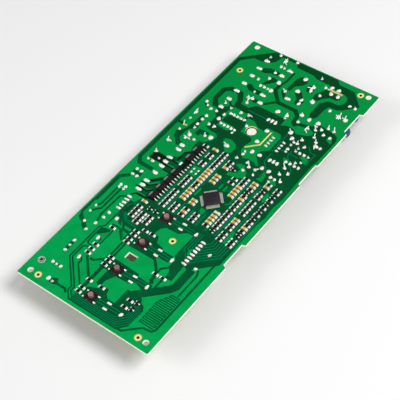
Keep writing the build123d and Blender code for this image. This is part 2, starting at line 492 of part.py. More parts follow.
def joint(half_x, half_y, height=JOINT_HEIGHT):
    """Fillet of solder round a lead: flat flanks that rise from an oval foot to a peak."""
    sides = 6 if half_x >= LARGE_JOINT else 4
    turns = [2 * math.pi * (i + 0.5) / sides for i in range(sides)]
    reach = 1 / math.cos(math.pi / sides) if sides == 4 else 1.08
    corners = [(half_x * STEP * reach * math.cos(a), half_y * STEP * reach * math.sin(a)) for a in turns]
    return loft([make_face(Polyline(*corners, close=True)), Vertex(0, 0, height)], ruled=True)


def copper_and_joints():
    """Copper layer, with a pad under each flat part that lacks it, and the joints on their seats."""
    copper = Sketch() + [field(corners) for corners in POURS]
    copper -= [field(corners) for corners in WINDOWS]
    copper += [ribbon(width, line) for width, line in TRACKS] + [meander()]
    keep_out = [spot(place) * Circle(FIDUCIAL_R + 0.3) for place in FIDUCIALS]
    keep_out += [ribbon(width + 1.4, line) for width, line in SLOTS]
    keep_out.append(spot(PILLAR_SPOT) * Circle(PILLAR_HOLE_R + 0.5))
    copper -= keep_out
    joints = []
    for (half_x, half_y), places in JOINTS.items():
        lump = joint(half_x, half_y)
        foot = Rectangle(2.1 * half_x * STEP, 2.1 * half_y * STEP)
        for place in places:
            covered = copper & (spot(place) * foot)
            joints.append(spot(place, COPPER if covered and covered.area > 1e-6 else 0.0) * lump)
    chip_seat = (CHIP_LENGTH + 2 * TERMINAL, CHIP_WIDTH)
    seats = [(place, chip_seat) for place in RESISTORS + CAPACITORS + [RESONATOR]]
    seats += [(place, BARE_PAD[:2]) for place in BARE_PADS] + [(place, SMALL_PAD[:2]) for place in SMALL_PADS]
    seats += [(place, (TRANSISTOR_BODY[0] + 1.5, 2.5)) for place, _ in TRANSISTORS]
    seats += [(place, (SWITCH_SPAN, SWITCH_SIDE)) for place in SWITCH_SPOTS]
    pads = []
    for place, size in seats:
        pad = spot(place) * Rectangle(*size)
        covered = copper & pad
        if not covered or covered.area < SEAT_SHARE * pad.area:
            pads.append(pad)
    copper += pads
    return extrude(copper, COPPER), joints


# ---------------------------------------------------------------- tall parts under the board
RELAY_EDGE, RELAY_FOOT = 0.6, 0.2


def relay(place, size):
    """Sealed relay: moulded cover with broken edges and a raised rim at its foot."""
    width, length, height = size
    cover = extrude(chamfer(Rectangle(width, length).vertices(), RELAY_EDGE), -height)
    cover = chamfer(cover.edges().group_by(Axis.Z)[0], RELAY_EDGE)
    foot = extrude(Rectangle(width + 2 * RELAY_FOOT, length + 2 * RELAY_FOOT), -1.2)
    return spot(place, UNDER) * (cover + foot)


RELAYS = {
    "relay_drum_forward": ((39.3, 249), (15.4, 19.0, TALL)),
    "relay_drum_reverse": ((38.9, 224.4), (15.4, 19.0, TALL)),
    "relay_spin": ((63.6, 248.6), (15.4, 19.0, TALL)),
    "relay_supply": ((63.6, 225.2), (15.4, 19.0, TALL)),
    "relay_heater": ((14.6, 174), (12.7, 28.6, TALL)),
    "relay_door": ((99.8, 185.4), (12.0, 12.0, 11.0)),
}


WAFER_BASE, SIGNAL_BASE = 3.2, 2.6    # depth of the connectors' base strips


def wafer(places, width, margin, height, wall):
    """Upright connector: a base strip that carries a row of pins, and a locking wall along one side."""
    low, high = min(y for _, y in places), max(y for _, y in places)
    middle, length = (places[0][0], (low + high) / 2), (high - low) * STEP + 2 * margin
    base = Box(width, length, WAFER_BASE, align=HANG)
    back = Pos(-width / 2 + wall / 2, 0, 0) * Box(wall, length, height, align=HANG)
    body = base + back
    for side in (-1, 1):
        rib = Pos(-width / 2 + wall, side * (length / 2 - 0.6), 0)
        body += rib * Box(1.6, 1.2, height * 0.7, align=(Align.MIN, Align.CENTER, Align.MAX))
    return spot(middle, UNDER) * body


PIN, SMALL_PIN = 1.1, 0.64        # sides of the connector pins
MAINS_PLACES = [(22.2, 198 + 9.67 * i) for i in range(7)]
LOAD_GROUPS = [
    [(22.1, 146.8), (22.1, 151.5)],
    [(22.1, 127.6), (22.1, 132.4), (22.1, 137.2)],
    [(22.1, 101.8), (22.1, 106.5), (22.1, 111), (22.1, 120.3)],
]
SIGNAL_GROUPS = [[(21.5, 80.6 + 3.03 * i) for i in range(5)], [(90, 68.3 + 3.0 * i) for i in range(8)]]


def pins(groups, side, start, length):
    """Square pins that stand out of the connectors' base strips."""
    return [block(place, (side, side, -length), UNDER - start) for group in groups for place in group]


def signal_wafer(places):
    """Low header of the signal connectors: base strip and back wall."""
    low, high = min(y for _, y in places), max(y for _, y in places)
    middle, length = (places[0][0], (low + high) / 2), (high - low) * STEP + 2.6
    body = Box(5.8, length, SIGNAL_BASE, align=HANG)
    body += Pos(-2.4, 0, 0) * Box(1.0, length, 8.6, align=HANG)
    return spot(middle, UNDER) * body


TRANSFORMER = (39, 190.3)


def transformer():
    """Supply transformer: ferrite core in two E halves round a bobbin with its winding."""
    base = Box(15.4, 15.2, 2.4, align=HANG)
    sleeve = Pos(0, 0, -2.4) * Box(6.6, 6.6, 10.4, align=HANG)
    cap = Pos(0, 0, -12.8) * Box(12.0, 12.6, 1.0, align=HANG)
    limb = Box(4.4, 4.4, 40)
    bobbin = (base + sleeve + cap) - limb
    winding = Pos(0, 0, -2.4) * Box(11.2, 11.2, 10.4, align=HANG)
    winding = chamfer(winding.edges().filter_by(Axis.Z), 1.6) - Box(6.6, 6.6, 40)
    yoke = Box(16.2, 4.4, TALL, align=HANG)
    gap = Pos(0, 0, -2.2 - 0.2) * Box(12.2, 8, TALL - 4.6, align=HANG)
    core = yoke - gap + Box(4.4, 4.4, TALL, align=HANG)
    core &= Pos(0, 0, -2.4) * Box(20, 8, TALL - 2.4, align=HANG)
    seat = spot(TRANSFORMER, UNDER)
    return seat * core, seat * bobbin, seat * winding


CHOKE = (85, 255.8)


def filter_choke():
    """Mains filter choke: closed ferrite frame with one winding on each upright limb, on a base."""
    base = Box(15, 13, 1.6, align=HANG)
    frame = Pos(0, 0, -1.6) * Box(14.6, 4, TALL - 1.6, align=HANG)
    frame -= Pos(0, 0, -4.6) * Box(6.6, 8, TALL - 7.6, align=HANG)
    coils = []
    for side in (-1, 1):
        limb = Pos(side * 5.3, 0, -4.8)
        coil = limb * Box(5.8, 9.6, TALL - 8.0, align=HANG)
        coil = chamfer(coil.edges().filter_by(Axis.Z), 1.0)
        coils.append(coil - frame)
    seat = spot(CHOKE, UNDER)
    return seat * base, seat * frame, [seat * coil for coil in coils]


def film_capacitor(place, size):
    box = block(place, (size[0], size[1], -size[2]), UNDER)
    return chamfer(box.edges().filter_by(Axis.Z), 0.5)


FILM_CAPACITORS = [
    ((84.3, 238.4), (17.6, 8.6, TALL)), ((84.9, 222.8), (17.6, 7.2, 13.0)),
    ((42.2, 168.8), (17.6, 9.6, TALL)), ((65.4, 190.3), (5.4, 13.0, 11.0)),
]


CAN_BEVEL = 0.6


def round_capacitor(place, radius, height):
    """Electrolytic can with a bevel round its free end."""
    can = extrude(RegularPolygon(radius, 24), -height)
    return spot(place, UNDER) * chamfer(can.edges().group_by(Axis.Z)[0], CAN_BEVEL)


ELECTROLYTICS = [((71.7, 174.3), 6.3, TALL), ((86.5, 163.9), 5.0, TALL), ((99.4, 162), 4.0, 12.0)]

HEAT_SINK = (62.8, 209.4)
SMALL_SINK = (86.9, 178.0)


def finned_plate(place, width, height, fins):
    """Upright cooling plate with short fins on its far side."""
    plate = Box(width, 1.4, height, align=(Align.CENTER, Align.MIN, Align.MAX))
    pitch = (width - 1.0) / (fins - 1)
    for i in range(fins):
        fin = Box(1.0, 1.5, height, align=(Align.CENTER, Align.MIN, Align.MAX))
        plate += Pos(-width / 2 + 0.5 + i * pitch, 1.4, 0) * fin
    return spot(place, UNDER) * plate


def power_package(place, lead_places):
    """Power semiconductor: moulded body on a metal tab, with three leads into the board."""
    body = spot(place, UNDER) * Pos(0, -1.5, -3.4) * Box(10, 3.0, 8.4, align=HANG)
    leads = [spot(p, UNDER) * Box(0.8, 0.5, 3.4, align=HANG) for p in lead_places]
    return body, leads


AXIAL_RESISTORS = [((101.4, 222.3), (102, 215.2)), ((106.5, 222), (107.5, 215.1)),
                   ((97.8, 209.8), (107.4, 203)), ((79.2, 216), (88.7, 214.6)),
                   ((91.9, 202.8), (97.2, 198)), ((102, 170.8), (97.2, 167.4))]
AXIAL_DIODES = [((80.8, 204.5), (91, 198.1)), ((73.2, 156.4), (82, 156.6)), ((28.3, 187.2), (25.7, 178.8)),
                ((38.6, 201), (29.6, 200.8))]
WIRE_LINKS = [((15, 41.7), (15, 32.2)), ((15, 20), (22.2, 19.8)), ((6.7, 73.6), (18.9, 73.7)),
              ((6.6, 67.6), (18.4, 68.4)), ((9.2, 58.6), (17, 61.4)), ((100, 83.4), (99.2, 69.2)),
              ((27.1, 52.6), (27.1, 33.1)), ((81.7, 65.9), (81.7, 39.6))]
AXIAL_DROP = 2.6


def axial(ends, radius, length):
    """Body and bent leads of a part whose leads leave from both ends."""
    (ax, ay), (bx, by) = flat(ends[0]), flat(ends[1])
    span, turn = math.hypot(bx - ax, by - ay), math.degrees(math.atan2(by - ay, bx - ax))
    seat = Location(((ax + bx) / 2, (ay + by) / 2, UNDER), (0, 0, turn))
    length = min(length, span - 2.0)
    sides = [(radius * math.cos(math.pi * i / 4), radius * math.sin(math.pi * i / 4)) for i in range(8)]
    section = Plane.YZ * make_face(Polyline(*sides, close=True))
    body = Pos(0, 0, -AXIAL_DROP) * extrude(section, length / 2, both=True)
    leads = []
    for way in (-1, 1):
        run = (span - length) / 2 + WIRE / 2
        lead = Pos(way * (length / 2 + run / 2), 0, -AXIAL_DROP) * Box(run, WIRE, WIRE)
        leg = Pos(way * span / 2, 0, 0) * Box(WIRE, WIRE, AXIAL_DROP, align=HANG)
        leads.append(seat * (lead + leg))
    return seat * body, leads


def wire_link(ends):
    """Bare wire between two leads, laid close under the board."""
    (ax, ay), (bx, by) = flat(ends[0]), flat(ends[1])
    span, turn = math.hypot(bx - ax, by - ay), math.degrees(math.atan2(by - ay, bx - ax))
    seat = Location(((ax + bx) / 2, (ay + by) / 2, UNDER), (0, 0, turn))
    return seat * Box(span + WIRE, WIRE, WIRE, align=HANG)


DISC_LIFT, DISC_LEAD_SPREAD = 2.0, 7.5


def coated_disc(place, radius, thickness):
    """Coated disc standing on edge, and its two leads into the board."""
    disc = extrude(Plane.XZ * RegularPolygon(radius, 24), thickness)
    disc = Pos(0, thickness / 2, -radius - DISC_LIFT) * disc
    spread = min(DISC_LEAD_SPREAD, 1.5 * radius)
    drop = DISC_LIFT + radius - math.sqrt(radius ** 2 - (spread / 2) ** 2)
    leads = []
    for side in (-1, 1):
        lead = Box(WIRE, WIRE, drop + 1, align=HANG)
        leads.append(spot(place, UNDER) * (Pos(side * spread / 2, 0, 0) * lead - disc))
    return spot(place, UNDER) * disc, leads


def build():
    os.makedirs("parts", exist_ok=True)
    laminate = board_laminate()
    save("board_laminate", [laminate])
    copper, joints = copper_and_joints()
    save("copper_tracks", [copper])
    save("solder_joints", joints)
    dot = extrude(RegularPolygon(FIDUCIAL_DOT_R, FIDUCIAL_SIDES // 2), COPPER)
    save("fiducial_dots", [spot(place, -FIDUCIAL_DEPTH) * dot for place in FIDUCIALS])

    save("chip_resistors", chips(RESISTORS, RESISTOR_HEIGHT))
    save("chip_capacitors", chips(CAPACITORS, CAPACITOR_HEIGHT))
    save("resonator", chips([RESONATOR], CAPACITOR_HEIGHT))
    save("chip_terminals", chip_terminals(RESISTORS, RESISTOR_HEIGHT)
         + chip_terminals(CAPACITORS + [RESONATOR], CAPACITOR_HEIGHT))
    save("small_transistors", [block(place, TRANSISTOR_BODY, COPPER) for place, _ in TRANSISTORS])
    save("small_transistor_leads", transistor_leads())
    save("triacs", triac_bodies())
    save("triac_leads", triac_leads())
    save("microcontroller", [microcontroller_body()])
    save("microcontroller_leads", microcontroller_leads())
    save("tinned_pads", [block(place, BARE_PAD, COPPER) for place in BARE_PADS]
         + [block(place, SMALL_PAD, COPPER) for place in SMALL_PADS] + triac_pads())
    save("earth_eyelet", [eyelet()])
    for number, place in enumerate(SWITCH_SPOTS, 1):
        save(f"switch_case_{number}", [spot(place, COPPER) * switch_case()])
        save(f"switch_stem_{number}", [spot(place, COPPER) * switch_stem()])
    save("switch_leads", switch_leads())

    for name, (place, size) in RELAYS.items():
        save(name, [relay(place, size)])
    save("mains_connector", [wafer(MAINS_PLACES, 8.4, 2.4, 12.6, 1.2)])
    save("mains_connector_pins", pins([MAINS_PLACES], PIN, WAFER_BASE, 7.8))
    save("load_connectors", [wafer(group, 8.4, 2.4, 12.6, 1.2) for group in LOAD_GROUPS])
    save("load_connector_pins", pins(LOAD_GROUPS, PIN, WAFER_BASE, 7.8))
    save("signal_connectors", [signal_wafer(group) for group in SIGNAL_GROUPS])
    save("signal_connector_pins", pins(SIGNAL_GROUPS, SMALL_PIN, SIGNAL_BASE, 5.4))
    core, bobbin, winding = transformer()
    save("transformer_core", [core])
    save("transformer_bobbin", [bobbin])
    save("transformer_winding", [winding])
    base, frame, coils = filter_choke()
    save("choke_base", [base])
    save("choke_core", [frame])
    save("choke_windings", coils)
    save("film_capacitors", [film_capacitor(place, size) for place, size in FILM_CAPACITORS])
    save("electrolytic_capacitors", [round_capacitor(*can) for can in ELECTROLYTICS])
    save("heat_sinks", [finned_plate(HEAT_SINK, 24.0, TALL, 9), finned_plate(SMALL_SINK, 9.0, TALL, 4)])
    packages = [power_package(HEAT_SINK, [(59.6, 206.3), (62.8, 206.3), (66, 206.3)]),
                power_package(SMALL_SINK, [(83.8, 174.4), (86.9, 174.4), (90.1, 174.4)])]
    save("power_semiconductors", [body for body, _ in packages])
    save("power_leads", [lead for _, leads in packages for lead in leads])
    save("supply_chip", [block((77.9, 188.7), (6.4, 9.6, -3.4), UNDER - 0.5)])
    save("supply_chip_leads", [block((77.9 + side * 4.5, 184.1 + 3.1 * i), (1.2, 1.0, -2.6), UNDER)
                               for side in (-1, 1) for i in range(4)])
    varistor, varistor_leads = coated_disc((104, 236), 6.0, 4.6)
    save("varistor", [varistor])
    capacitor, capacitor_leads = coated_disc((104.3, 249.5), 4.2, 3.6)
    save("safety_capacitor", [capacitor])
    save("disc_leads", varistor_leads + capacitor_leads)
    bodies = [axial(ends, 1.2, 6.4) for ends in AXIAL_RESISTORS]
    save("axial_resistors", [body for body, _ in bodies])
    diodes = [axial(ends, 1.3, 5.2) for ends in AXIAL_DIODES]
    save("axial_diodes", [body for body, _ in diodes])
    save("axial_leads", [lead for _, leads in bodies + diodes for lead in leads])
    save("wire_links", [wire_link(ends) for ends in WIRE_LINKS])
    washer = extrude(RegularPolygon(PILLAR_HOLE_R + 0.8, 24) - RegularPolygon(PILLAR_NECK_R, 24), -WASHER)
    neck = extrude(RegularPolygon(PILLAR_NECK_R, 24), PILLAR_SUNK - LAMINATE - WASHER)
    post = extrude(RegularPolygon(PILLAR_HOLE_R + 0.6, 24), WASHER - TALL)
    pillar = spot(PILLAR_SPOT, -PILLAR_SUNK) * neck + spot(PILLAR_SPOT, UNDER - WASHER) * post
    save("pillar_washer", [spot(PILLAR_SPOT, UNDER) * washer])
    save("support_pillar", [pillar])



build()
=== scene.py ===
from dataclasses import dataclass, field
from enum import Enum
import logging
import math
from typing import Iterable, Sequence, Union

import bmesh
import bpy
import numpy as np
from mathutils import Matrix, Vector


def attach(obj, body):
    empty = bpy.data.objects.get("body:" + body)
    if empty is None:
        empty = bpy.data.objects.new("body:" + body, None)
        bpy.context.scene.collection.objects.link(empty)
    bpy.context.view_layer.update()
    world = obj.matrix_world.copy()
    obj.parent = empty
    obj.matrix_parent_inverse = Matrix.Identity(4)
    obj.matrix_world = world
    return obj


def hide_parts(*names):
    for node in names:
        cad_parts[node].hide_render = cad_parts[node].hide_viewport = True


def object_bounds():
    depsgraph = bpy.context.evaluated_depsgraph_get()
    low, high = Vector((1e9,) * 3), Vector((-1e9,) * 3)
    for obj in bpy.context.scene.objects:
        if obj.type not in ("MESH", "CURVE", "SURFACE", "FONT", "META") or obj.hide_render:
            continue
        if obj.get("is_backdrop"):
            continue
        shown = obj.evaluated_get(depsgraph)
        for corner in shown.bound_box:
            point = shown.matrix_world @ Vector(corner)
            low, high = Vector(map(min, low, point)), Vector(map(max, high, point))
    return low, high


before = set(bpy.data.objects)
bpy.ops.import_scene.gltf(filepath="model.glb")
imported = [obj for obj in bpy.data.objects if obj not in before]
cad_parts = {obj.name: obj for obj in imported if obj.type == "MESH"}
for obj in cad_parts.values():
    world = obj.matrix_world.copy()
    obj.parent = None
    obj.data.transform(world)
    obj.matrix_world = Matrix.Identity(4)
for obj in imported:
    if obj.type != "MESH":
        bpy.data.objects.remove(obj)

log = logging.getLogger("control_board")

MM = 0.001
STEP = 2.54 / 3 * MM                # layout step of the board
CENTRE = np.array((57.8, 135.4))    # centre of the fixing holes, in steps from the near left corner
COPPER_TOP = 0.07 * MM
UNDER = -1.6 * MM
BOARD_BODY = "board"
MERGE = 1e-7
BEND_POINTS = 5
PAINTED_EDGE_GLOW = 0.22                         # share of painted light that the laminate's cut edges give off as emission, though they are no lamp
LACQUER_GLOSS = 0.05
Colour = tuple[float, float, float]
Point = tuple[float, float, float]
Pair = tuple[float, float]


# ---------------------------------------------------------------- places and solids of the frame
def place(steps: Sequence[float]) -> np.ndarray:
    """Metres in the board's plane for places counted in steps.

    Args:
        steps: One place or an array of places, X and Y in its last axis.

    Returns:
        The same shape, in metres from the centre of the fixing holes.
    """
    return (np.asarray(steps, float) - CENTRE) * STEP


@dataclass(frozen=True)
class Solid:
    """One loose solid of a node: its points and the box round them."""

    points: np.ndarray

    @property
    def low(self) -> np.ndarray:
        """Lowest corner of the box."""
        return self.points.min(axis=0)

    @property
    def high(self) -> np.ndarray:
        """Highest corner of the box."""
        return self.points.max(axis=0)

    @property
    def centre(self) -> np.ndarray:
        """Middle of the box."""
        return (self.low + self.high) / 2

    @property
    def size(self) -> np.ndarray:
        """Sides of the box."""
        return self.high - self.low

    @property
    def axis(self) -> np.ndarray:
        """Longest level direction of the solid.

        Returns:
            The direction in which its points spread most, of length 1.
        """
        level = self.points[:, :2] - self.points[:, :2].mean(axis=0)
        _, ways = np.linalg.eigh(level.T @ level)
        return np.array((*ways[:, 1], 0.0))

    @property
    def half_length(self) -> float:
        """Farthest reach of the points from the middle of the box along the longest level direction."""
        return float(np.abs((self.points - self.centre) @ self.axis).max())

    def seat(self, height: float) -> np.ndarray:
        """Point in line with the middle of the box, at one height."""
        return np.array((*self.centre[:2], height))

    def side_of(self, middle: float) -> tuple[float, float, float]:
        """Tells on which side of a middle the solid stands, along X.

        Args:
            middle: X of what it stands beside.

        Returns:
            1 or -1, X of its nearer end, and the turn in degrees that lays an outline that way.
        """
        if self.centre[0] > middle:
            return 1.0, self.low[0], 0.0
        return -1.0, self.high[0], 180.0


def solids(node: str) -> list[Solid]:
    """Splits a node's mesh into its loose solids.

    Every corner starts with its own label. Each pass gives the three corners of every triangle the lowest of
    their labels, until nothing changes.

    Args:
        node: Name of the node.

    Returns:
        Its solids, ordered by label.
    """
    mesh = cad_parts[node].data
    points = np.empty(len(mesh.vertices) * 3)
    mesh.vertices.foreach_get("co", points)
    corners = np.empty(len(mesh.loops), int)
    mesh.loops.foreach_get("vertex_index", corners)
    merged, back = np.unique(np.round(points.reshape(-1, 3), 7), axis=0, return_inverse=True)
    triangles = back.reshape(-1)[corners].reshape(-1, 3)
    labels = np.arange(len(merged))
    while True:
        lowest = labels[triangles].min(axis=1)
        fresh = labels.copy()
        np.minimum.at(fresh, triangles, lowest[:, None])
        fresh = fresh[fresh]
        if np.array_equal(fresh, labels):
            break
        labels = fresh
    return [Solid(merged[labels == label]) for label in np.unique(labels)]


def boxes_of(found: Sequence[Solid]) -> tuple[np.ndarray, np.ndarray]:
    """Centres and sizes of several solids as two arrays."""
    return np.array([s.centre for s in found]), np.array([s.size for s in found])


def nearest(places: np.ndarray, wanted: np.ndarray) -> int:
    """Number of the place that is nearest to a wanted one in the board's plane."""
    return int(np.argmin(np.linalg.norm(places[:, :2] - wanted[:2], axis=1)))


# ---------------------------------------------------------------- surfaces
def unit(vectors: Union[np.ndarray, Sequence[float]]) -> np.ndarray:
    """Vectors brought to length 1 along their last axis."""
    vectors = np.asarray(vectors, float)
    return vectors / np.linalg.norm(vectors, axis=-1, keepdims=True)


def round_angles(sides: int) -> np.ndarray:
    """Angles of points spread evenly round a circle."""
    return np.linspace(0, 2 * math.pi, sides, endpoint=False)


def quarter_bend(radius: float, points: int = BEND_POINTS) -> np.ndarray:
    """Way in and down along a rounded rim: the radius by 1 less cos and by 1 less sin of a quarter turn.

    Args:
        radius: Radius of the rim.
        points: Number of points.

    Returns:
        Pairs of the way in and the way down.
    """
    t = np.linspace(0, math.pi / 2, points)
    return radius * (1 - np.column_stack([np.cos(t), np.sin(t)]))


def squarish(angle: np.ndarray, power: Union[float, np.ndarray] = 1.0) -> np.ndarray:
    """X and Y of a circle drawn towards a square: cos and sin raised to a power, with their signs kept.

    Args:
        angle: Angles of the points.
        power: The power, one or an array that broadcasts against angles by two.

    Returns:
        The points, X and Y in the last axis.
    """
    both = np.stack([np.cos(angle), np.sin(angle)], -1)
    return np.sign(both) * np.abs(both) ** power


def ring_faces(rings: int, sides: int) -> np.ndarray:
    """Quads between successive rings of points.

    Args:
        rings: Number of rings.
        sides: Points in each ring.

    Returns:
        Array of quads of point numbers.
    """
    here = np.arange(rings - 1)[:, None] * sides
    v = np.arange(sides)[None, :]
    beside = (v + 1) % sides
    quads = np.stack([here + v, here + beside, here + sides + beside, here + sides + v], -1)
    return quads.reshape(-1, 4)


def chamfered_template() -> tuple[np.ndarray, np.ndarray, list[np.ndarray]]:
    """Box with cut edges: each corner gives three points, one on each face that meets there.

    Returns:
        Signs of the 24 points, which axis each keeps in full, and the quads and triangles.
    """
    signs = np.array([(x, y, z) for x in (-1, 1) for y in (-1, 1) for z in (-1, 1)], float)
    full = np.tile(np.arange(3), 8)

    def number(corner: Sequence[int], axis: int) -> int:
        """Point number of a corner's point on one axis."""
        return int((corner[0] > 0) * 4 + (corner[1] > 0) * 2 + (corner[2] > 0)) * 3 + axis

    quads = []
    for axis in range(3):
        one, two = (axis + 1) % 3, (axis + 2) % 3
        for side in (-1, 1):
            loop = []
            for a, b in ((-1, -1), (1, -1), (1, 1), (-1, 1)):
                corner = [0, 0, 0]
                corner[axis], corner[one], corner[two] = side, a, b
                loop.append(number(corner, axis))
            quads.append(loop)
            for other in (-1, 1):
                ends = []
                for along in (-1, 1):
                    corner = [0, 0, 0]
                    corner[axis], corner[one], corner[two] = side, other, along
                    ends.append(corner)
                quads.append([number(ends[0], axis), number(ends[1], axis),
                              number(ends[1], one), number(ends[0], one)])
    tips = [[number(s, 0), number(s, 1), number(s, 2)] for s in signs]
    return np.repeat(signs, 3, axis=0), full, [np.array(quads), np.array(tips)]


BOX_SIGNS, BOX_FULL, BOX_FACES = chamfered_template()


def turned(points: np.ndarray, degrees: Union[float, np.ndarray]) -> np.ndarray:
    """Points turned about Z: X is cos X minus sin Y, Y is sin X plus cos Y.

    Args:
        points: Points, X, Y and Z in their last axis.
        degrees: The turn, one or an array that broadcasts against the points.

    Returns:
        The turned points.
    """
    angle = np.radians(degrees)
    cos, sin = np.cos(angle), np.sin(angle)
    x, y = points[..., 0], points[..., 1]
    return np.stack([cos * x - sin * y, sin * x + cos * y, points[..., 2]], -1)


@dataclass
class Shape:
    """Points and faces gathered for one piece, with the number of each face's finish."""

    points: list[np.ndarray] = field(default_factory=list)
    faces: list[tuple[np.ndarray, int]] = field(default_factory=list)
    count: int = 0

    def add(self, points: np.ndarray, faces: Iterable[np.ndarray], finish: int = 0) -> "Shape":
        """Adds copies of one pattern of faces.

        Args:
            points: Copies by points by three.
            faces: Polygons of the first copy, as arrays with one polygon to a row.
            finish: Number of the finish of these faces.

        Returns:
            This shape.
        """
        copies, size = points.shape[:2]
        starts = self.count + np.arange(copies)[:, None, None] * size
        for polygons in faces:
            self.faces.append(((polygons[None] + starts).reshape(-1, polygons.shape[1]), finish))
        self.points.append(points.reshape(-1, 3))
        self.count += copies * size
        return self

    def boxes(self, centres: np.ndarray, sizes: Union[np.ndarray, Sequence[float]], cut: float,
              finish: int = 0, turn: float = 0.0) -> "Shape":
        """Boxes with cut edges: half the size by the signs, less the cut on the two axes that give way.

        Args:
            centres: Middles, one to a row.
            sizes: Sides, one row or one to a box.
            cut: Width of the cut edge.
            finish: Number of the finish.
            turn: Degrees about Z round each middle.

        Returns:
            This shape.
        """
        centres = np.atleast_2d(centres)
        half = np.broadcast_to(np.atleast_2d(sizes) / 2, centres.shape)
        keep = np.eye(3)[BOX_FULL]
        local = BOX_SIGNS[None] * (half[:, None] - cut * (1 - keep)[None])
        return self.add(centres[:, None] + turned(local, turn), BOX_FACES, finish)

    def prisms(self, profile: Sequence[Sequence[float]], width: float, seats: np.ndarray,
               turns: Union[float, np.ndarray] = 0.0, finish: int = 0) -> "Shape":
        """Closed outline in X and Z carried across a width along Y, with flat ends.

        Args:
            profile: Outline as pairs of X and Z.
            width: Distance between the ends.
            seats: Where the outline's origin goes, one to a copy.
            turns: Degrees about Z, one or one to a copy.
            finish: Number of the finish.

        Returns:
            This shape.
        """
        seats = np.atleast_2d(seats)
        outline = np.asarray(profile, float)
        sides = len(outline)
        ends = np.array((-width / 2, width / 2))
        local = np.empty((2, sides, 3))
        local[..., 0], local[..., 1], local[..., 2] = outline[:, 0], ends[:, None], outline[:, 1]
        points = np.broadcast_to(local.reshape(1, -1, 3), (len(seats), 2 * sides, 3))
        spun = turned(points, np.broadcast_to(np.asarray(turns, float), (len(seats),))[:, None])
        caps = np.array([np.arange(sides), np.arange(sides) + sides])
        return self.add(seats[:, None] + spun, [ring_faces(2, sides), caps], finish)

    def turnings(self, profile: Sequence[Sequence[float]], centres: np.ndarray, sides: int, finish: int = 0,
                 axis: Sequence[float] = (0.0, 0.0, 1.0)) -> "Shape":
        """Outline of radius and height turned round an axis: radius by cos and sin of the angle, plus height.

        Args:
            profile: Pairs of radius and height, from pole to pole.
            centres: Middles, one to a copy.
            sides: Points round the axis.
            finish: Number of the finish.
            axis: Direction of the axis.

        Returns:
            This shape.
        """
        centres = np.atleast_2d(centres)
        outline = np.asarray(profile, float)
        angle = round_angles(sides)
        along = unit(axis)
        one = unit(np.cross(along, (0.0, 0.0, 1.0) if abs(along[2]) < 0.9 else (1.0, 0.0, 0.0)))
        two = np.cross(along, one)
        spokes = np.cos(angle)[:, None] * one + np.sin(angle)[:, None] * two
        rings = outline[:, 0, None, None] * spokes[None] + outline[:, 1, None, None] * along
        points = centres[:, None] + rings.reshape(1, -1, 3)
        return self.add(points, [ring_faces(len(outline), sides)], finish)

    def tube(self, path: np.ndarray, radius: float, beside: Sequence[float], sides: int = 8) -> "Shape":
        """Round wire: the path plus the radius by cos along one side and by sin square to side and path.

        Args:
            path: Points of the centre line.
            radius: Radius of the wire.
            beside: Direction of that side, square to the path.
            sides: Points round the wire.

        Returns:
            This shape.
        """
        side = np.broadcast_to(np.asarray(beside, float), path.shape)
        up = unit(np.cross(unit(np.gradient(path, axis=0)), side))
        angle = round_angles(sides)
        rings = path[:, None] + radius * (np.cos(angle)[None, :, None] * side[:, None]
                                          + np.sin(angle)[None, :, None] * up[:, None])
        start, end = np.repeat(path[:1, None], sides, 1), np.repeat(path[-1:, None], sides, 1)
        rings = np.concatenate([start, rings, end])
        return self.add(rings.reshape(1, -1, 3), [ring_faces(len(rings), sides)])

    def ribbon(self, corners: np.ndarray, width: float, low: float, high: float) -> "Shape":
        """Flat strip of constant width along a line, with mitred bends and square ends.

        Args:
            corners: Points of the centre line, X and Y.
            width: Width of the strip.
            low: Height of its lower face.
            high: Height of its upper face.

        Returns:
            This shape.
        """
        ways = unit(np.diff(corners, axis=0))
        before, after = np.vstack([ways[:1], ways]), np.vstack([ways, ways[-1:]])
        middle = unit(before + after)
        across = np.stack([-middle[:, 1], middle[:, 0]], -1)
        reach = width / 2 / np.maximum((middle * after).sum(axis=1), 0.3)
        left, right = corners + across * reach[:, None], corners - across * reach[:, None]
        rings = np.empty((len(corners), 4, 3))
        rings[:, (0, 3), :2], rings[:, (1, 2), :2] = left[:, None], right[:, None]
        rings[:, :2, 2], rings[:, 2:, 2] = low, high
        caps = np.arange(4) + np.array([[0], [4 * (len(corners) - 1)]])
        return self.add(rings.reshape(1, -1, 3), [ring_faces(len(corners), 4), caps])

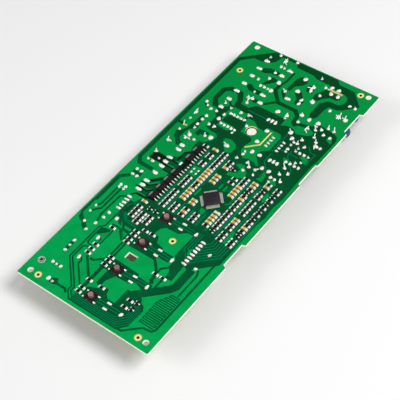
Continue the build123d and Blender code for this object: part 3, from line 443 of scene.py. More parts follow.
    def piece(self, name: str, finishes: Sequence["Finish"], slot: str, stands_for: Sequence[str] = (),
              sharp: float = 38.0, body: str = BOARD_BODY) -> None:
        """Makes the finished object, merged at its poles and with its faces pointing outwards.

        Args:
            name: Name of the piece.
            finishes: Finishes, by the numbers that the faces carry.
            slot: Material slot of the record; not used.
            stands_for: Nodes that it replaces.
            sharp: Angle in degrees past which an edge stays sharp.
            body: Body that it moves with.
        """
        mesh = bpy.data.meshes.new(name)
        points = np.concatenate(self.points)
        totals = np.concatenate([np.full(len(f), f.shape[1]) for f, _ in self.faces])
        mesh.vertices.add(len(points))
        mesh.vertices.foreach_set("co", points.ravel())
        mesh.loops.add(int(totals.sum()))
        mesh.loops.foreach_set("vertex_index", np.concatenate([f.ravel() for f, _ in self.faces]))
        mesh.polygons.add(len(totals))
        mesh.polygons.foreach_set("loop_start", np.concatenate([[0], np.cumsum(totals)[:-1]]))
        mesh.polygons.foreach_set("loop_total", totals)
        numbers = np.concatenate([np.full(len(f), number) for f, number in self.faces])
        mesh.polygons.foreach_set("material_index", numbers)
        mesh.update(calc_edges=True)
        shell = bmesh.new()
        shell.from_mesh(mesh)
        bmesh.ops.remove_doubles(shell, verts=shell.verts, dist=MERGE)
        bmesh.ops.recalc_face_normals(shell, faces=shell.faces)
        shell.to_mesh(mesh)
        shell.free()
        mesh.shade_smooth()
        mesh.set_sharp_from_angle(angle=math.radians(sharp))
        for finish in finishes:
            mesh.materials.append(finish.get())
        obj = bpy.data.objects.new(name, mesh)
        bpy.context.scene.collection.objects.link(obj)
        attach(obj, body)
        if stands_for:
            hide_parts(*stands_for)
        log.info("%s: %d faces on %s", name, len(mesh.polygons), body)


def rounded_path(corners: Sequence[Sequence[float]], radius: float) -> np.ndarray:
    """Line through corners whose bends are quadratic curves that start and end a radius from each corner.

    Args:
        corners: Corner points.
        radius: How far from a corner its bend starts.

    Returns:
        Points of the line.
    """
    corners = np.asarray(corners, float)
    t = np.linspace(0, 1, BEND_POINTS)[:, None]
    line = [corners[:1]]
    for before, here, after in zip(corners, corners[1:], corners[2:]):
        a = here + unit(before - here) * radius
        b = here + unit(after - here) * radius
        line.append((1 - t) ** 2 * a + 2 * t * (1 - t) * here + t ** 2 * b)
    line.append(corners[-1:])
    return np.concatenate(line)


# ---------------------------------------------------------------- shader graph
class Value:
    """A node's output that takes part in arithmetic."""

    def __init__(self, graph: "Graph", socket: bpy.types.NodeSocket) -> None:
        """Keeps the graph and the socket."""
        self.graph, self.socket = graph, socket

    def _math(self, operation: str, *others: Union["Value", float], first: bool = True) -> "Value":
        """Adds one Math node, with this value as its first operand or else as its last."""
        operands = (self, *others) if first else (*others, self)
        return self.graph.node("ShaderNodeMath", {"operation": operation}, dict(enumerate(operands)))

    def __add__(self, other: Union["Value", float]) -> "Value":
        """Sum."""
        return self._math("ADD", other)

    __radd__ = __add__

    def __sub__(self, other: Union["Value", float]) -> "Value":
        """Difference."""
        return self._math("SUBTRACT", other)

    def __rsub__(self, other: Union["Value", float]) -> "Value":
        """Difference, this value last."""
        return self._math("SUBTRACT", other, first=False)

    def __mul__(self, other: Union["Value", float]) -> "Value":
        """Product."""
        return self._math("MULTIPLY", other)

    __rmul__ = __mul__

    def __abs__(self) -> "Value":
        """Size without sign."""
        return self._math("ABSOLUTE")

    def most(self, other: Union["Value", float]) -> "Value":
        """The larger of two."""
        return self._math("MAXIMUM", other)

    def wave(self) -> "Value":
        """Sine."""
        return self._math("SINE")

    def rise(self, low: float, high: float) -> "Value":
        """Smooth step that leaves 0 at the low bound and reaches 1 at the high one."""
        return self.graph.node("ShaderNodeMapRange", {"interpolation_type": "SMOOTHSTEP"},
                               {"Value": self, "From Min": low, "From Max": high})


class Graph:
    """Node graph of one material, with its surface shader in place."""

    def __init__(self, name: str) -> None:
        """Makes the material, empties its tree and joins a surface shader to the output.

        Args:
            name: Name of the material.
        """
        self.material = bpy.data.materials.new(name)
        self.material.use_nodes = True
        self.tree = self.material.node_tree
        self.tree.nodes.clear()
        self.surface = self.tree.nodes.new("ShaderNodeBsdfPrincipled")
        output = self.tree.nodes.new("ShaderNodeOutputMaterial")
        self.tree.links.new(self.surface.outputs[0], output.inputs[0])

    def node(self, kind: str, settings: Union[dict, None] = None, inputs: Union[dict, None] = None,
             output: Union[int, str] = 0) -> Value:
        """Adds any node.

        Args:
            kind: Type of the node.
            settings: Its properties, set first.
            inputs: Numbers, colours or values of its sockets, by name or number.
            output: Which output is wanted.

        Returns:
            That output.
        """
        made = self.tree.nodes.new(kind)
        for key, setting in (settings or {}).items():
            setattr(made, key, setting)
        self.fill(made, inputs or {})
        return Value(self, made.outputs[output])

    def fill(self, made: bpy.types.Node, inputs: dict) -> None:
        """Sets the sockets of a node.

        Args:
            made: The node.
            inputs: Numbers, colours or values, by name or number of the socket.
        """
        for key, given in inputs.items():
            if isinstance(given, Value):
                self.tree.links.new(given.socket, made.inputs[key])
            else:
                made.inputs[key].default_value = given

    def coordinates(self) -> Value:
        """Object coordinates, which are the board's own metres."""
        return self.node("ShaderNodeTexCoord", output="Object")

    def axes(self, vector: Value) -> tuple[Value, Value, Value]:
        """Takes a vector apart.

        Args:
            vector: The vector.

        Returns:
            Its X, Y and Z.
        """
        parts = self.node("ShaderNodeSeparateXYZ", inputs={0: vector})
        outputs = parts.socket.node.outputs
        return Value(self, outputs[0]), Value(self, outputs[1]), Value(self, outputs[2])

    def facing(self) -> Value:
        """Z of the surface's own normal."""
        return self.axes(self.node("ShaderNodeNewGeometry", output="Normal"))[2]

    def noise(self, size: float, detail: float = 3.0) -> Value:
        """Clouded pattern about 0.5, with patches of a size in metres and that many octaves."""
        return self.node("ShaderNodeTexNoise", inputs={"Vector": self.coordinates(), "Scale": 1 / size,
                                                       "Detail": detail, "Roughness": 0.55})

    def mix(self, factor: Union[Value, float], one: Union[Value, Colour], two: Union[Value, Colour]) -> Value:
        """Colour between two, the first one where the factor is 0 and the second where it is 1."""
        first, second = [c if isinstance(c, Value) else (*c, 1.0) for c in (one, two)]
        return self.node("ShaderNodeMix", {"data_type": "RGBA"}, {0: factor, 6: first, 7: second}, 2)

    def dress(self, colour: Value, roughness: Union[Value, float], metallic: float = 0.0,
              bump: Union[Value, None] = None, depth: float = 0.0, coat: float = 0.0, specular: float = 0.5,
              painted_glow: Union[Value, None] = None) -> bpy.types.Material:
        """Joins the results to the surface shader.

        Args:
            colour: Base colour.
            roughness: Roughness.
            metallic: Metal share.
            bump: Height of the relief, from 0 to 1.
            depth: Full height of the relief, in metres.
            coat: Weight of the clear coat.
            specular: Level of the gloss.
            painted_glow: Colour of painted light that the surface gives off as emission, though it is no
                lamp.

        Returns:
            The material.
        """
        given = {"Base Color": colour, "Roughness": roughness, "Metallic": metallic, "Coat Weight": coat,
                 "Specular IOR Level": specular}
        # painted light: emission from a surface that is no lamp
        if painted_glow is not None:
            given |= {"Emission Color": painted_glow, "Emission Strength": PAINTED_EDGE_GLOW}
        if bump is not None:
            given["Normal"] = self.node("ShaderNodeBump", inputs={"Strength": 1.0, "Distance": depth,
                                                                  "Height": bump})
        self.fill(self.surface, given)
        return self.material


# ---------------------------------------------------------------- finishes
@dataclass(frozen=True)
class Patch:
    """Rectangle of the board, in steps, that a finish treats in its own way."""

    low: Pair
    high: Pair

    def mask(self, x: Value, y: Value, wander: Union[Value, float] = 0.0, soft: float = 0.25 * MM) -> Value:
        """1 inside the rectangle: the product of one falling step along X and one along Y.

        Args:
            x: X of the surface point, in metres.
            y: Y of the surface point, in metres.
            wander: Distance by which the edge strays, in metres.
            soft: Half width of the edge.

        Returns:
            The mask.
        """
        low, high = place(self.low), place(self.high)
        middles, halves = ((low + high) / 2).tolist(), ((high - low) / 2).tolist()
        across, along = [1 - (abs(axis - middle) + wander).rise(half - soft, half + soft)
                         for axis, middle, half in zip((x, y), middles, halves)]
        return across * along


def any_of(masks: Iterable[Value]) -> Value:
    """Largest of several masks.

    Args:
        masks: The masks, at least one.

    Returns:
        A mask that is 1 wherever one of them is.
    """
    found = list(masks)
    total = found[0]
    for mask in found[1:]:
        total = total.most(mask)
    return total


INK = (0.004, 0.009, 0.008)
INK_PATCHES = (Patch((32.9, 98.8), (38.4, 159.2)), Patch((8.8, 129.4), (20.5, 136.4)))
HOLE_PATCH = Patch((50.5, 185.5), (61.0, 195.8))
CUT_PATCHES = (Patch((59.5, 172.5), (71.5, 198.5)), Patch((76.5, 254.0), (93.0, 258.3)),
               Patch((8.0, 166.8), (13.8, 170.8)), HOLE_PATCH)


def cast(colour: Colour, share: float) -> Colour:
    """A colour made darker: each part times the share."""
    return tuple(part * share for part in colour)


def inked(graph: Graph, colour: Value) -> Value:
    """Black ink laid over a colour of the soldered face.

    Args:
        graph: Graph that it is drawn in.
        colour: Colour under the ink.

    Returns:
        The colour with the ink.
    """
    x, y, _ = graph.axes(graph.coordinates())
    stray = 1.2 * MM
    wander = (graph.noise(stray) - 0.5) * stray
    cover = any_of(patch.mask(x, y, wander) for patch in INK_PATCHES)
    return graph.mix(cover * 0.94, colour, INK)


@dataclass(frozen=True)
class BoardLacquer:
    """Green lacquer on bare laminate, pale cut edges, cream slot walls and the plain component side."""

    green: Colour = (0.000, 0.365, 0.084)
    deep: Colour = (0.000, 0.300, 0.066)
    # far: painted shade, the tone the top is darkened to towards the far end
    far: Colour = (0.000, 0.268, 0.052)
    edge: Colour = (0.92, 0.92, 0.74)
    fibre: Colour = (0.45, 0.42, 0.20)
    cream: Colour = (0.90, 0.80, 0.36)
    # painted shade for the lower half of the large hole's wall
    painted_hole_shade: Colour = (0.045, 0.022, 0.006)
    under: Colour = (0.42, 0.44, 0.22)

    def material(self) -> bpy.types.Material:
        """Colour by the way the surface faces.

        The top grows darker towards the far end as painted shade and is cream in the fiducial recesses, the
        wall of the large hole has painted shade in its lower half, and the cut edges give off painted light
        of their own as emission.

        Returns:
            The material.
        """
        graph = Graph("board_lacquer")
        cloud, fine = graph.noise(9 * MM, 4.0), graph.noise(0.5 * MM, 2.0)
        x, y, z = graph.axes(graph.coordinates())
        near = graph.mix(cloud.rise(0.35, 0.75), self.green, self.deep)
        # painted shade: the top darkens towards the far end to stand in for the falloff of light across the
        # board
        top = inked(graph, graph.mix(y.rise(-80 * MM, 30 * MM), near, self.far))
        top = graph.mix(1 - z.rise(-0.09 * MM, -0.03 * MM), top, self.cream)
        cut = graph.mix(any_of(patch.mask(x, y) for patch in CUT_PATCHES), self.edge, self.cream)
        # painted shade: the lower half of the large hole's wall is painted near black where shade falls under
        # the board
        shade = HOLE_PATCH.mask(x, y) * (1 - z.rise(-0.95 * MM, -0.75 * MM))
        cut = graph.mix(shade, cut, self.painted_hole_shade)
        edge = graph.mix(fine.rise(0.35, 0.8) * 0.3, cut, self.fibre)
        weave = graph.node("ShaderNodeTexVoronoi", inputs={"Vector": graph.coordinates(), "Scale": 900.0})
        under = graph.mix(weave.rise(0.2, 0.8), self.under, cast(self.under, 0.8))
        facing = graph.facing()
        colour = graph.mix(facing.rise(0.3, 0.7), edge, top)
        colour = graph.mix((facing * -1.0).rise(0.3, 0.7), colour, under)
        side = (1 - abs(facing).rise(0.3, 0.7)) * (1 - shade)
        rough = 0.42 + 0.25 * side + 0.08 * fine
        # painted light: cut edges and slot walls give off their own colour as emission, though they are no
        # lamp
        painted_glow = graph.mix(side, (0.0, 0.0, 0.0), edge)
        return graph.dress(colour, rough, bump=fine, depth=0.008 * MM, specular=LACQUER_GLOSS, painted_glow=painted_glow)


@dataclass(frozen=True)
class CopperLacquer:
    """Green lacquer over copper: darker than on bare laminate, with ink in places."""

    green: Colour = (0.000, 0.098, 0.029)
    deep: Colour = (0.000, 0.073, 0.022)
    # far: painted shade, the tone the top is darkened to towards the far end
    far: Colour = (0.000, 0.060, 0.014)

    def material(self) -> bpy.types.Material:
        """Slow changes of depth, darker towards the far end as painted shade, and a faint orange-peel relief.

        Returns:
            The material.
        """
        graph = Graph("copper_lacquer")
        cloud, peel = graph.noise(14 * MM, 4.0), graph.noise(0.7 * MM, 2.0)
        _, y, _ = graph.axes(graph.coordinates())
        near = graph.mix(cloud.rise(0.3, 0.72), self.green, self.deep)
        # painted shade: darker towards the far end to stand in for the falloff of light across the board
        colour = inked(graph, graph.mix(y.rise(-15 * MM, 75 * MM), near, self.far))
        return graph.dress(colour, 0.34 + 0.1 * peel, bump=peel, depth=0.012 * MM, specular=LACQUER_GLOSS)


@dataclass(frozen=True)
class Metal:
    """Plain or soldered metal with a clouded polish."""

    name: str
    colour: Colour
    dark: Colour
    rough: float
    grain: float = 0.4
    relief: float = 0.0
    metal: float = 1.0
    spots: tuple[float, float] = (0.42, 0.78)

    def material(self) -> bpy.types.Material:
        """Mixes the two colours and the polish by one pattern.

        Returns:
            The material.
        """
        graph = Graph(self.name)
        cloud = graph.noise(self.grain * MM)
        colour = graph.mix(cloud.rise(*self.spots), self.colour, self.dark)
        rough = self.rough + 0.22 * cloud.rise(0.35, 0.8)
        bump = graph.noise(self.grain * 0.6 * MM, 2.0) if self.relief else None
        return graph.dress(colour, rough, self.metal, bump=bump, depth=self.relief * MM)


@dataclass(frozen=True)
class Moulding:
    """Moulded or dipped material: one colour, its darker cast, a fine relief and a gloss."""

    name: str
    colour: Colour
    rough: float = 0.5
    shade: float = 0.82
    grain: float = 0.5
    relief: float = 0.02
    coat: float = 0.0
    specular: float = 0.4

    def material(self) -> bpy.types.Material:
        """Mixes the colour with its darker cast by a slow pattern, with a fine one for the relief.

        Returns:
            The material.
        """
        graph = Graph(self.name)
        slow, fine = graph.noise(4 * MM), graph.noise(self.grain * MM, 2.0)
        colour = graph.mix(slow.rise(0.3, 0.7), self.colour, cast(self.colour, self.shade))
        return graph.dress(colour, self.rough + 0.12 * (fine - 0.5), bump=fine, depth=self.relief * MM,
                           coat=self.coat, specular=self.specular)


@dataclass(frozen=True)
class ChipGlaze:
    """Fired chip: dark glaze on top and a paler ceramic at the sides."""

    top: Colour = (0.006, 0.005, 0.005)
    side: Colour = (0.26, 0.25, 0.24)

    def material(self) -> bpy.types.Material:
        """Colour by the way the surface faces.

        Returns:
            The material.
        """
        graph = Graph("chip_glaze")
        facing = graph.facing().rise(0.35, 0.8)
        speck = graph.noise(0.25 * MM, 2.0)
        colour = graph.mix(facing, self.side, self.top)
        return graph.dress(colour, 0.44 + 0.2 * speck, bump=speck, depth=0.01 * MM, specular=0.1)


@dataclass(frozen=True)
class BandedCoat:
    """Lacquered axial resistor with plain colour rings along one direction."""

    base: Colour = (0.58, 0.45, 0.27)
    ring: Colour = (0.25, 0.06, 0.03)
    period: float = 2.1 * MM

    def material(self) -> bpy.types.Material:
        """Rings by a wave along the diagonal of the board's plane.

        Returns:
            The material.
        """
        graph = Graph("banded_coat")
        x, y, _ = graph.axes(graph.coordinates())
        wave = ((x + y) * (2 * math.pi / self.period)).wave()
        colour = graph.mix(wave.rise(0.55, 0.75), self.base, self.ring)
        return graph.dress(colour, 0.35, coat=0.3)


class Finish(Enum):
    """Finishes of the board's pieces."""

    LACQUER = BoardLacquer()
    COPPER = CopperLacquer()
    LINE = Moulding("line_lacquer", (0.000, 0.25, 0.09), 0.45, 0.85, specular=LACQUER_GLOSS)
    INK = Moulding("ink", (0.002, 0.007, 0.006), 0.5, 0.7, specular=0.06)
    SOLDER = Metal("solder", (0.98, 1.00, 0.95), (0.30, 0.24, 0.20), 0.16, 0.8, 0.06, 0.15, (0.56, 0.80))
    CAP = Metal("end_cap", (0.96, 0.97, 0.92), (0.36, 0.32, 0.28), 0.18, 0.5, 0.04, 0.15, (0.55, 0.82))
    TAB = Metal("dull_tab", (0.46, 0.41, 0.40), (0.30, 0.26, 0.26), 0.42, 0.8, 0.0, 0.6)
    FLUX = Moulding("flux_residue", (0.05, 0.024, 0.010), 0.28, 0.6, coat=0.3)
    TINNED = Metal("tinned_lead", (0.97, 0.98, 0.95), (0.50, 0.48, 0.45), 0.26, 0.6, 0.0, 0.2)
    LEADS = Metal("controller_lead", (0.80, 0.76, 0.66), (0.45, 0.41, 0.36), 0.30, 0.6, 0.0, 0.2)
    DOT = Moulding("bare_copper", (0.075, 0.020, 0.002), 0.5, 0.5, 0.3, specular=0.08)
    RIM = Moulding("lacquer_rim", (0.72, 0.62, 0.17), 0.5, 0.85, 0.5)
    GLAZE = ChipGlaze()
    TAN = Moulding("tan_ceramic", (0.78, 0.46, 0.055), 0.42, 0.66, 0.9)
    WHITE_CERAMIC = Moulding("white_ceramic", (0.78, 0.76, 0.70), 0.4)
    BLACK = Moulding("black_moulding", (0.016, 0.011, 0.012), 0.5, 0.7, 0.12, 0.03, specular=0.2)
    CHIP = Moulding("chip_moulding", (0.026, 0.018, 0.026), 0.5, 0.75, 0.12, 0.03, specular=0.25)
    DIMPLE = Moulding("polished_dimple", (0.020, 0.018, 0.026), 0.2)
    SWITCH = Moulding("switch_housing", (0.020, 0.017, 0.017), 0.45, 0.7, 0.2, specular=0.2)
    COVER = Metal("switch_cover", (0.50, 0.50, 0.50), (0.30, 0.30, 0.30), 0.34, 0.8)
    STEM = Moulding("switch_stem", (0.42, 0.215, 0.20), 0.36, 0.6, 0.35, 0.03)
    RELAY = Moulding("relay_cover", (0.018, 0.040, 0.115), 0.34, 0.8, 0.3)
    NYLON = Moulding("white_nylon", (0.88, 0.87, 0.81), 0.42, 0.93, 0.6)
    BLACK_NYLON = Moulding("black_nylon", (0.022, 0.022, 0.023), 0.5)
    FERRITE = Moulding("ferrite", (0.065, 0.065, 0.070), 0.7, 0.7, 0.3, 0.05)
    TAPE = Moulding("wound_tape", (0.72, 0.46, 0.05), 0.3, 0.88, coat=0.3)
    ENAMEL = Metal("enamelled_wire", (0.55, 0.20, 0.07), (0.42, 0.13, 0.05), 0.28, 1.5)
    CASE = Moulding("capacitor_case", (0.64, 0.45, 0.07), 0.34, 0.9, 0.3, coat=0.2)
    SLEEVE = Moulding("capacitor_sleeve", (0.018, 0.020, 0.034), 0.3, 0.8, coat=0.3)
    ALUMINIUM = Metal("aluminium", (0.72, 0.73, 0.74), (0.60, 0.61, 0.62), 0.34, 1.0)
    VARISTOR = Moulding("varistor_coating", (0.02, 0.09, 0.26), 0.4, 0.85, 0.4, 0.06)
    DISC = Moulding("disc_coating", (0.05, 0.16, 0.36), 0.45, 0.85, 0.4, 0.06)
    BANDED = BandedCoat()
    DIODE = Moulding("diode_body", (0.02, 0.02, 0.022), 0.35)

    def get(self) -> bpy.types.Material:
        """Looks the material up, or makes it the first time.

        Returns:
            The material.
        """
        if self not in MADE:
            MADE[self] = self.value.material()
        return MADE[self]


MADE: dict[Finish, bpy.types.Material] = {}


def dress_nodes(finish: Finish, *nodes: str) -> None:
    """Gives carried-over nodes their finish.

    Args:
        finish: The finish.
        nodes: Names of the nodes.
    """
    for node in nodes:
        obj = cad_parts[node]
        if not obj.material_slots:
            obj.data.materials.append(finish.get())
        for slot in obj.material_slots:
            slot.material = finish.get()
        log.info("%s dressed as %s", node, finish.name.lower())


# ---------------------------------------------------------------- sub-assemblies on the soldered face
@dataclass(frozen=True)
class Run:
    """Parallel strips, in steps: the first line, the move from each to the next, their number and width."""

    line: tuple[Pair, ...]
    move: Pair = (0.0, 0.0)
    number: int = 1
    width: float = 0.5

    def lay(self, shape: Shape, low: float, high: float) -> None:
        """Adds the strips.

        Args:
            shape: Shape that takes them.
            low: Height of their lower faces.
            high: Height of their upper faces.
        """
        for i in range(self.number):
            line = np.array(self.line) + i * np.array(self.move)
            shape.ribbon(place(line), self.width * STEP, low, high)


def fan(start: float, end: float, legs: Sequence[Pair]) -> tuple[Run, ...]:
    """Tracks that leave one column at 45 degrees, bend, and run on along the board.

    Args:
        start: X of the column.
        end: Y where they all end.
        legs: Y where each track leaves the column, and X where it bends.

    Returns:
        The tracks.
    """
    return tuple(Run(((start, y), (x, y + abs(x - start)), (x, end))) for y, x in legs)


@dataclass
class BareBoard:
    """Laminate, copper layer, fiducials, the lines between tracks that run side by side, and ink strokes."""

    lines: tuple[Run, ...] = (
        # along the near edge, round its right corner
        Run(((46.5, 4.2), (84.6, 4.2), (90.2, 9.8), (90.6, 22.0)), (-1.35, 1.35), 5, 0.4),
        # from the signal row at the right, fanned out to the columns of chips
        *fan(91.7, 95.5, ((70.0, 107.6), (73.0, 105.6), (76.0, 103.6), (79.0, 101.6),
                          (82.0, 99.6), (85.2, 97.4), (88.4, 95.0))),
        *fan(88.3, 95.0, ((76.0, 84.4), (80.0, 86.2), (72.6, 82.7))),
        # across the pours of the light resistors
        *(Run(((61.6, y), (79.6, y)), (0.0, -2.2), 2) for y in (67.0, 41.2, 14.6, 93.8)),
        # between the columns of chips
        Run(((60.0, 121.0), (50.0, 131.0), (50.0, 158.0)), (-1.3, -1.3), 2),
        Run(((62.0, 113.0), (57.9, 108.9), (57.9, 98.0))),
        Run(((49.6, 98.5), (49.6, 128.0)), (1.1, 0.0), 2, 0.35), Run(((41.9, 98.5), (41.9, 158.0))),
        Run(((58.2, 129.0), (58.2, 160.0)), (-1.0, 0.0), 2, 0.35),
        Run(((66.6, 98.0), (66.6, 108.0)), (1.0, 0.0), 2), Run(((75.6, 98.0), (75.6, 110.0)), (1.1, 0.0), 2),
        Run(((84.8, 98.0), (84.8, 113.0)), (-1.0, 0.0), 2),
        Run(((82.5, 124.0), (84.6, 126.1), (84.6, 152.0)), (-1.0, 0.0), 2),
        Run(((92.6, 98.0), (92.6, 133.0))), Run(((93.6, 107.0), (93.6, 128.0))),
        Run(((101.0, 97.0), (101.0, 126.0)), (0.9, 0.0), 2, 0.4), Run(((109.4, 97.0), (109.4, 128.0))),
        Run(((92.6, 136.0), (92.6, 152.0)), (1.0, 0.0), 2, 0.35),
        Run(((74.4, 133.4), (77.0, 136.0), (77.0, 144.0))), Run(((31.4, 96.0), (31.4, 92.0), (25.0, 85.6))),
        Run(((28.0, 91.0), (28.0, 81.0), (33.4, 75.6), (43.0, 75.6)), (0.0, -1.5), 2),
        # in the wide field at the far end
        Run(((41.6, 206.0), (57.4, 206.0))), Run(((80.0, 203.0), (80.0, 182.0))),
        Run(((84.6, 187.0), (99.0, 187.0))),
        Run(((81.0, 180.0), (81.0, 171.4), (86.6, 165.8), (86.6, 158.0))),
        Run(((92.0, 190.0), (92.0, 184.6), (101.6, 175.0), (103.6, 170.0))),
        Run(((99.4, 200.6), (104.0, 196.0), (107.8, 196.0), (107.8, 184.0))),
    )
    strokes: tuple[Run, ...] = (
        Run(((20.4, 135.7), (32.6, 135.7)), width=1.3), Run(((20.0, 129.8), (32.6, 129.8)), width=1.3),
        Run(((24.6, 112.2), (31.2, 118.8)), width=1.4), Run(((25.0, 125.4), (32.0, 125.4)), width=0.9),
        Run(((30.8, 108.0), (30.8, 99.4)), width=0.6),
        Run(((19.0, 108.3), (26.4, 108.3), (31.0, 112.9)), width=1.3),
        Run(((18.0, 103.6), (28.4, 103.6), (31.4, 106.6)), width=1.3),
        Run(((21.2, 95.4), (24.0, 98.2), (31.6, 98.2), (34.2, 100.8)), width=1.3),
        Run(((28.4, 138.0), (28.4, 146.6), (31.4, 149.6), (34.6, 149.6)), width=1.3),
    )
    line_rise: float = 0.006 * MM
    stroke_rise: float = 0.004 * MM
    dot: float = 0.92 * MM
    target: float = 1.75 * MM
    rim: float = 0.45 * MM
    dot_rise: float = 0.05 * MM

    def build(self) -> None:
        """Adds the lines and the ink just above the copper, and the fiducials in their recesses."""
        lines, ink, dots = Shape(), Shape(), Shape()
        for run in self.lines:
            run.lay(lines, COPPER_TOP - 0.01 * MM, COPPER_TOP + self.line_rise)
        for run in self.strokes:
            run.lay(ink, 0.0, COPPER_TOP + self.stroke_rise)
        r, wide, rise = self.target, self.target + self.rim, self.dot_rise
        for solid in solids("fiducial_dots"):
            seat = solid.seat(solid.low[2])
            dots.turnings([(0, 0), (self.dot, 0), (self.dot, rise), (0, 1.4 * rise)], seat, 20)
            dots.turnings([(r, 0), (wide, 0), (wide, rise), (r, rise), (r, 0)], seat, 28, 1)
        lines.piece("track_lines", [Finish.LINE], "laminate")
        ink.piece("ink_strokes", [Finish.INK], "lacquered_copper")
        dots.piece("fiducial_targets", [Finish.DOT, Finish.RIM], "bare_copper", ["fiducial_dots"])
        dress_nodes(Finish.LACQUER, "board_laminate")
        dress_nodes(Finish.COPPER, "copper_tracks")


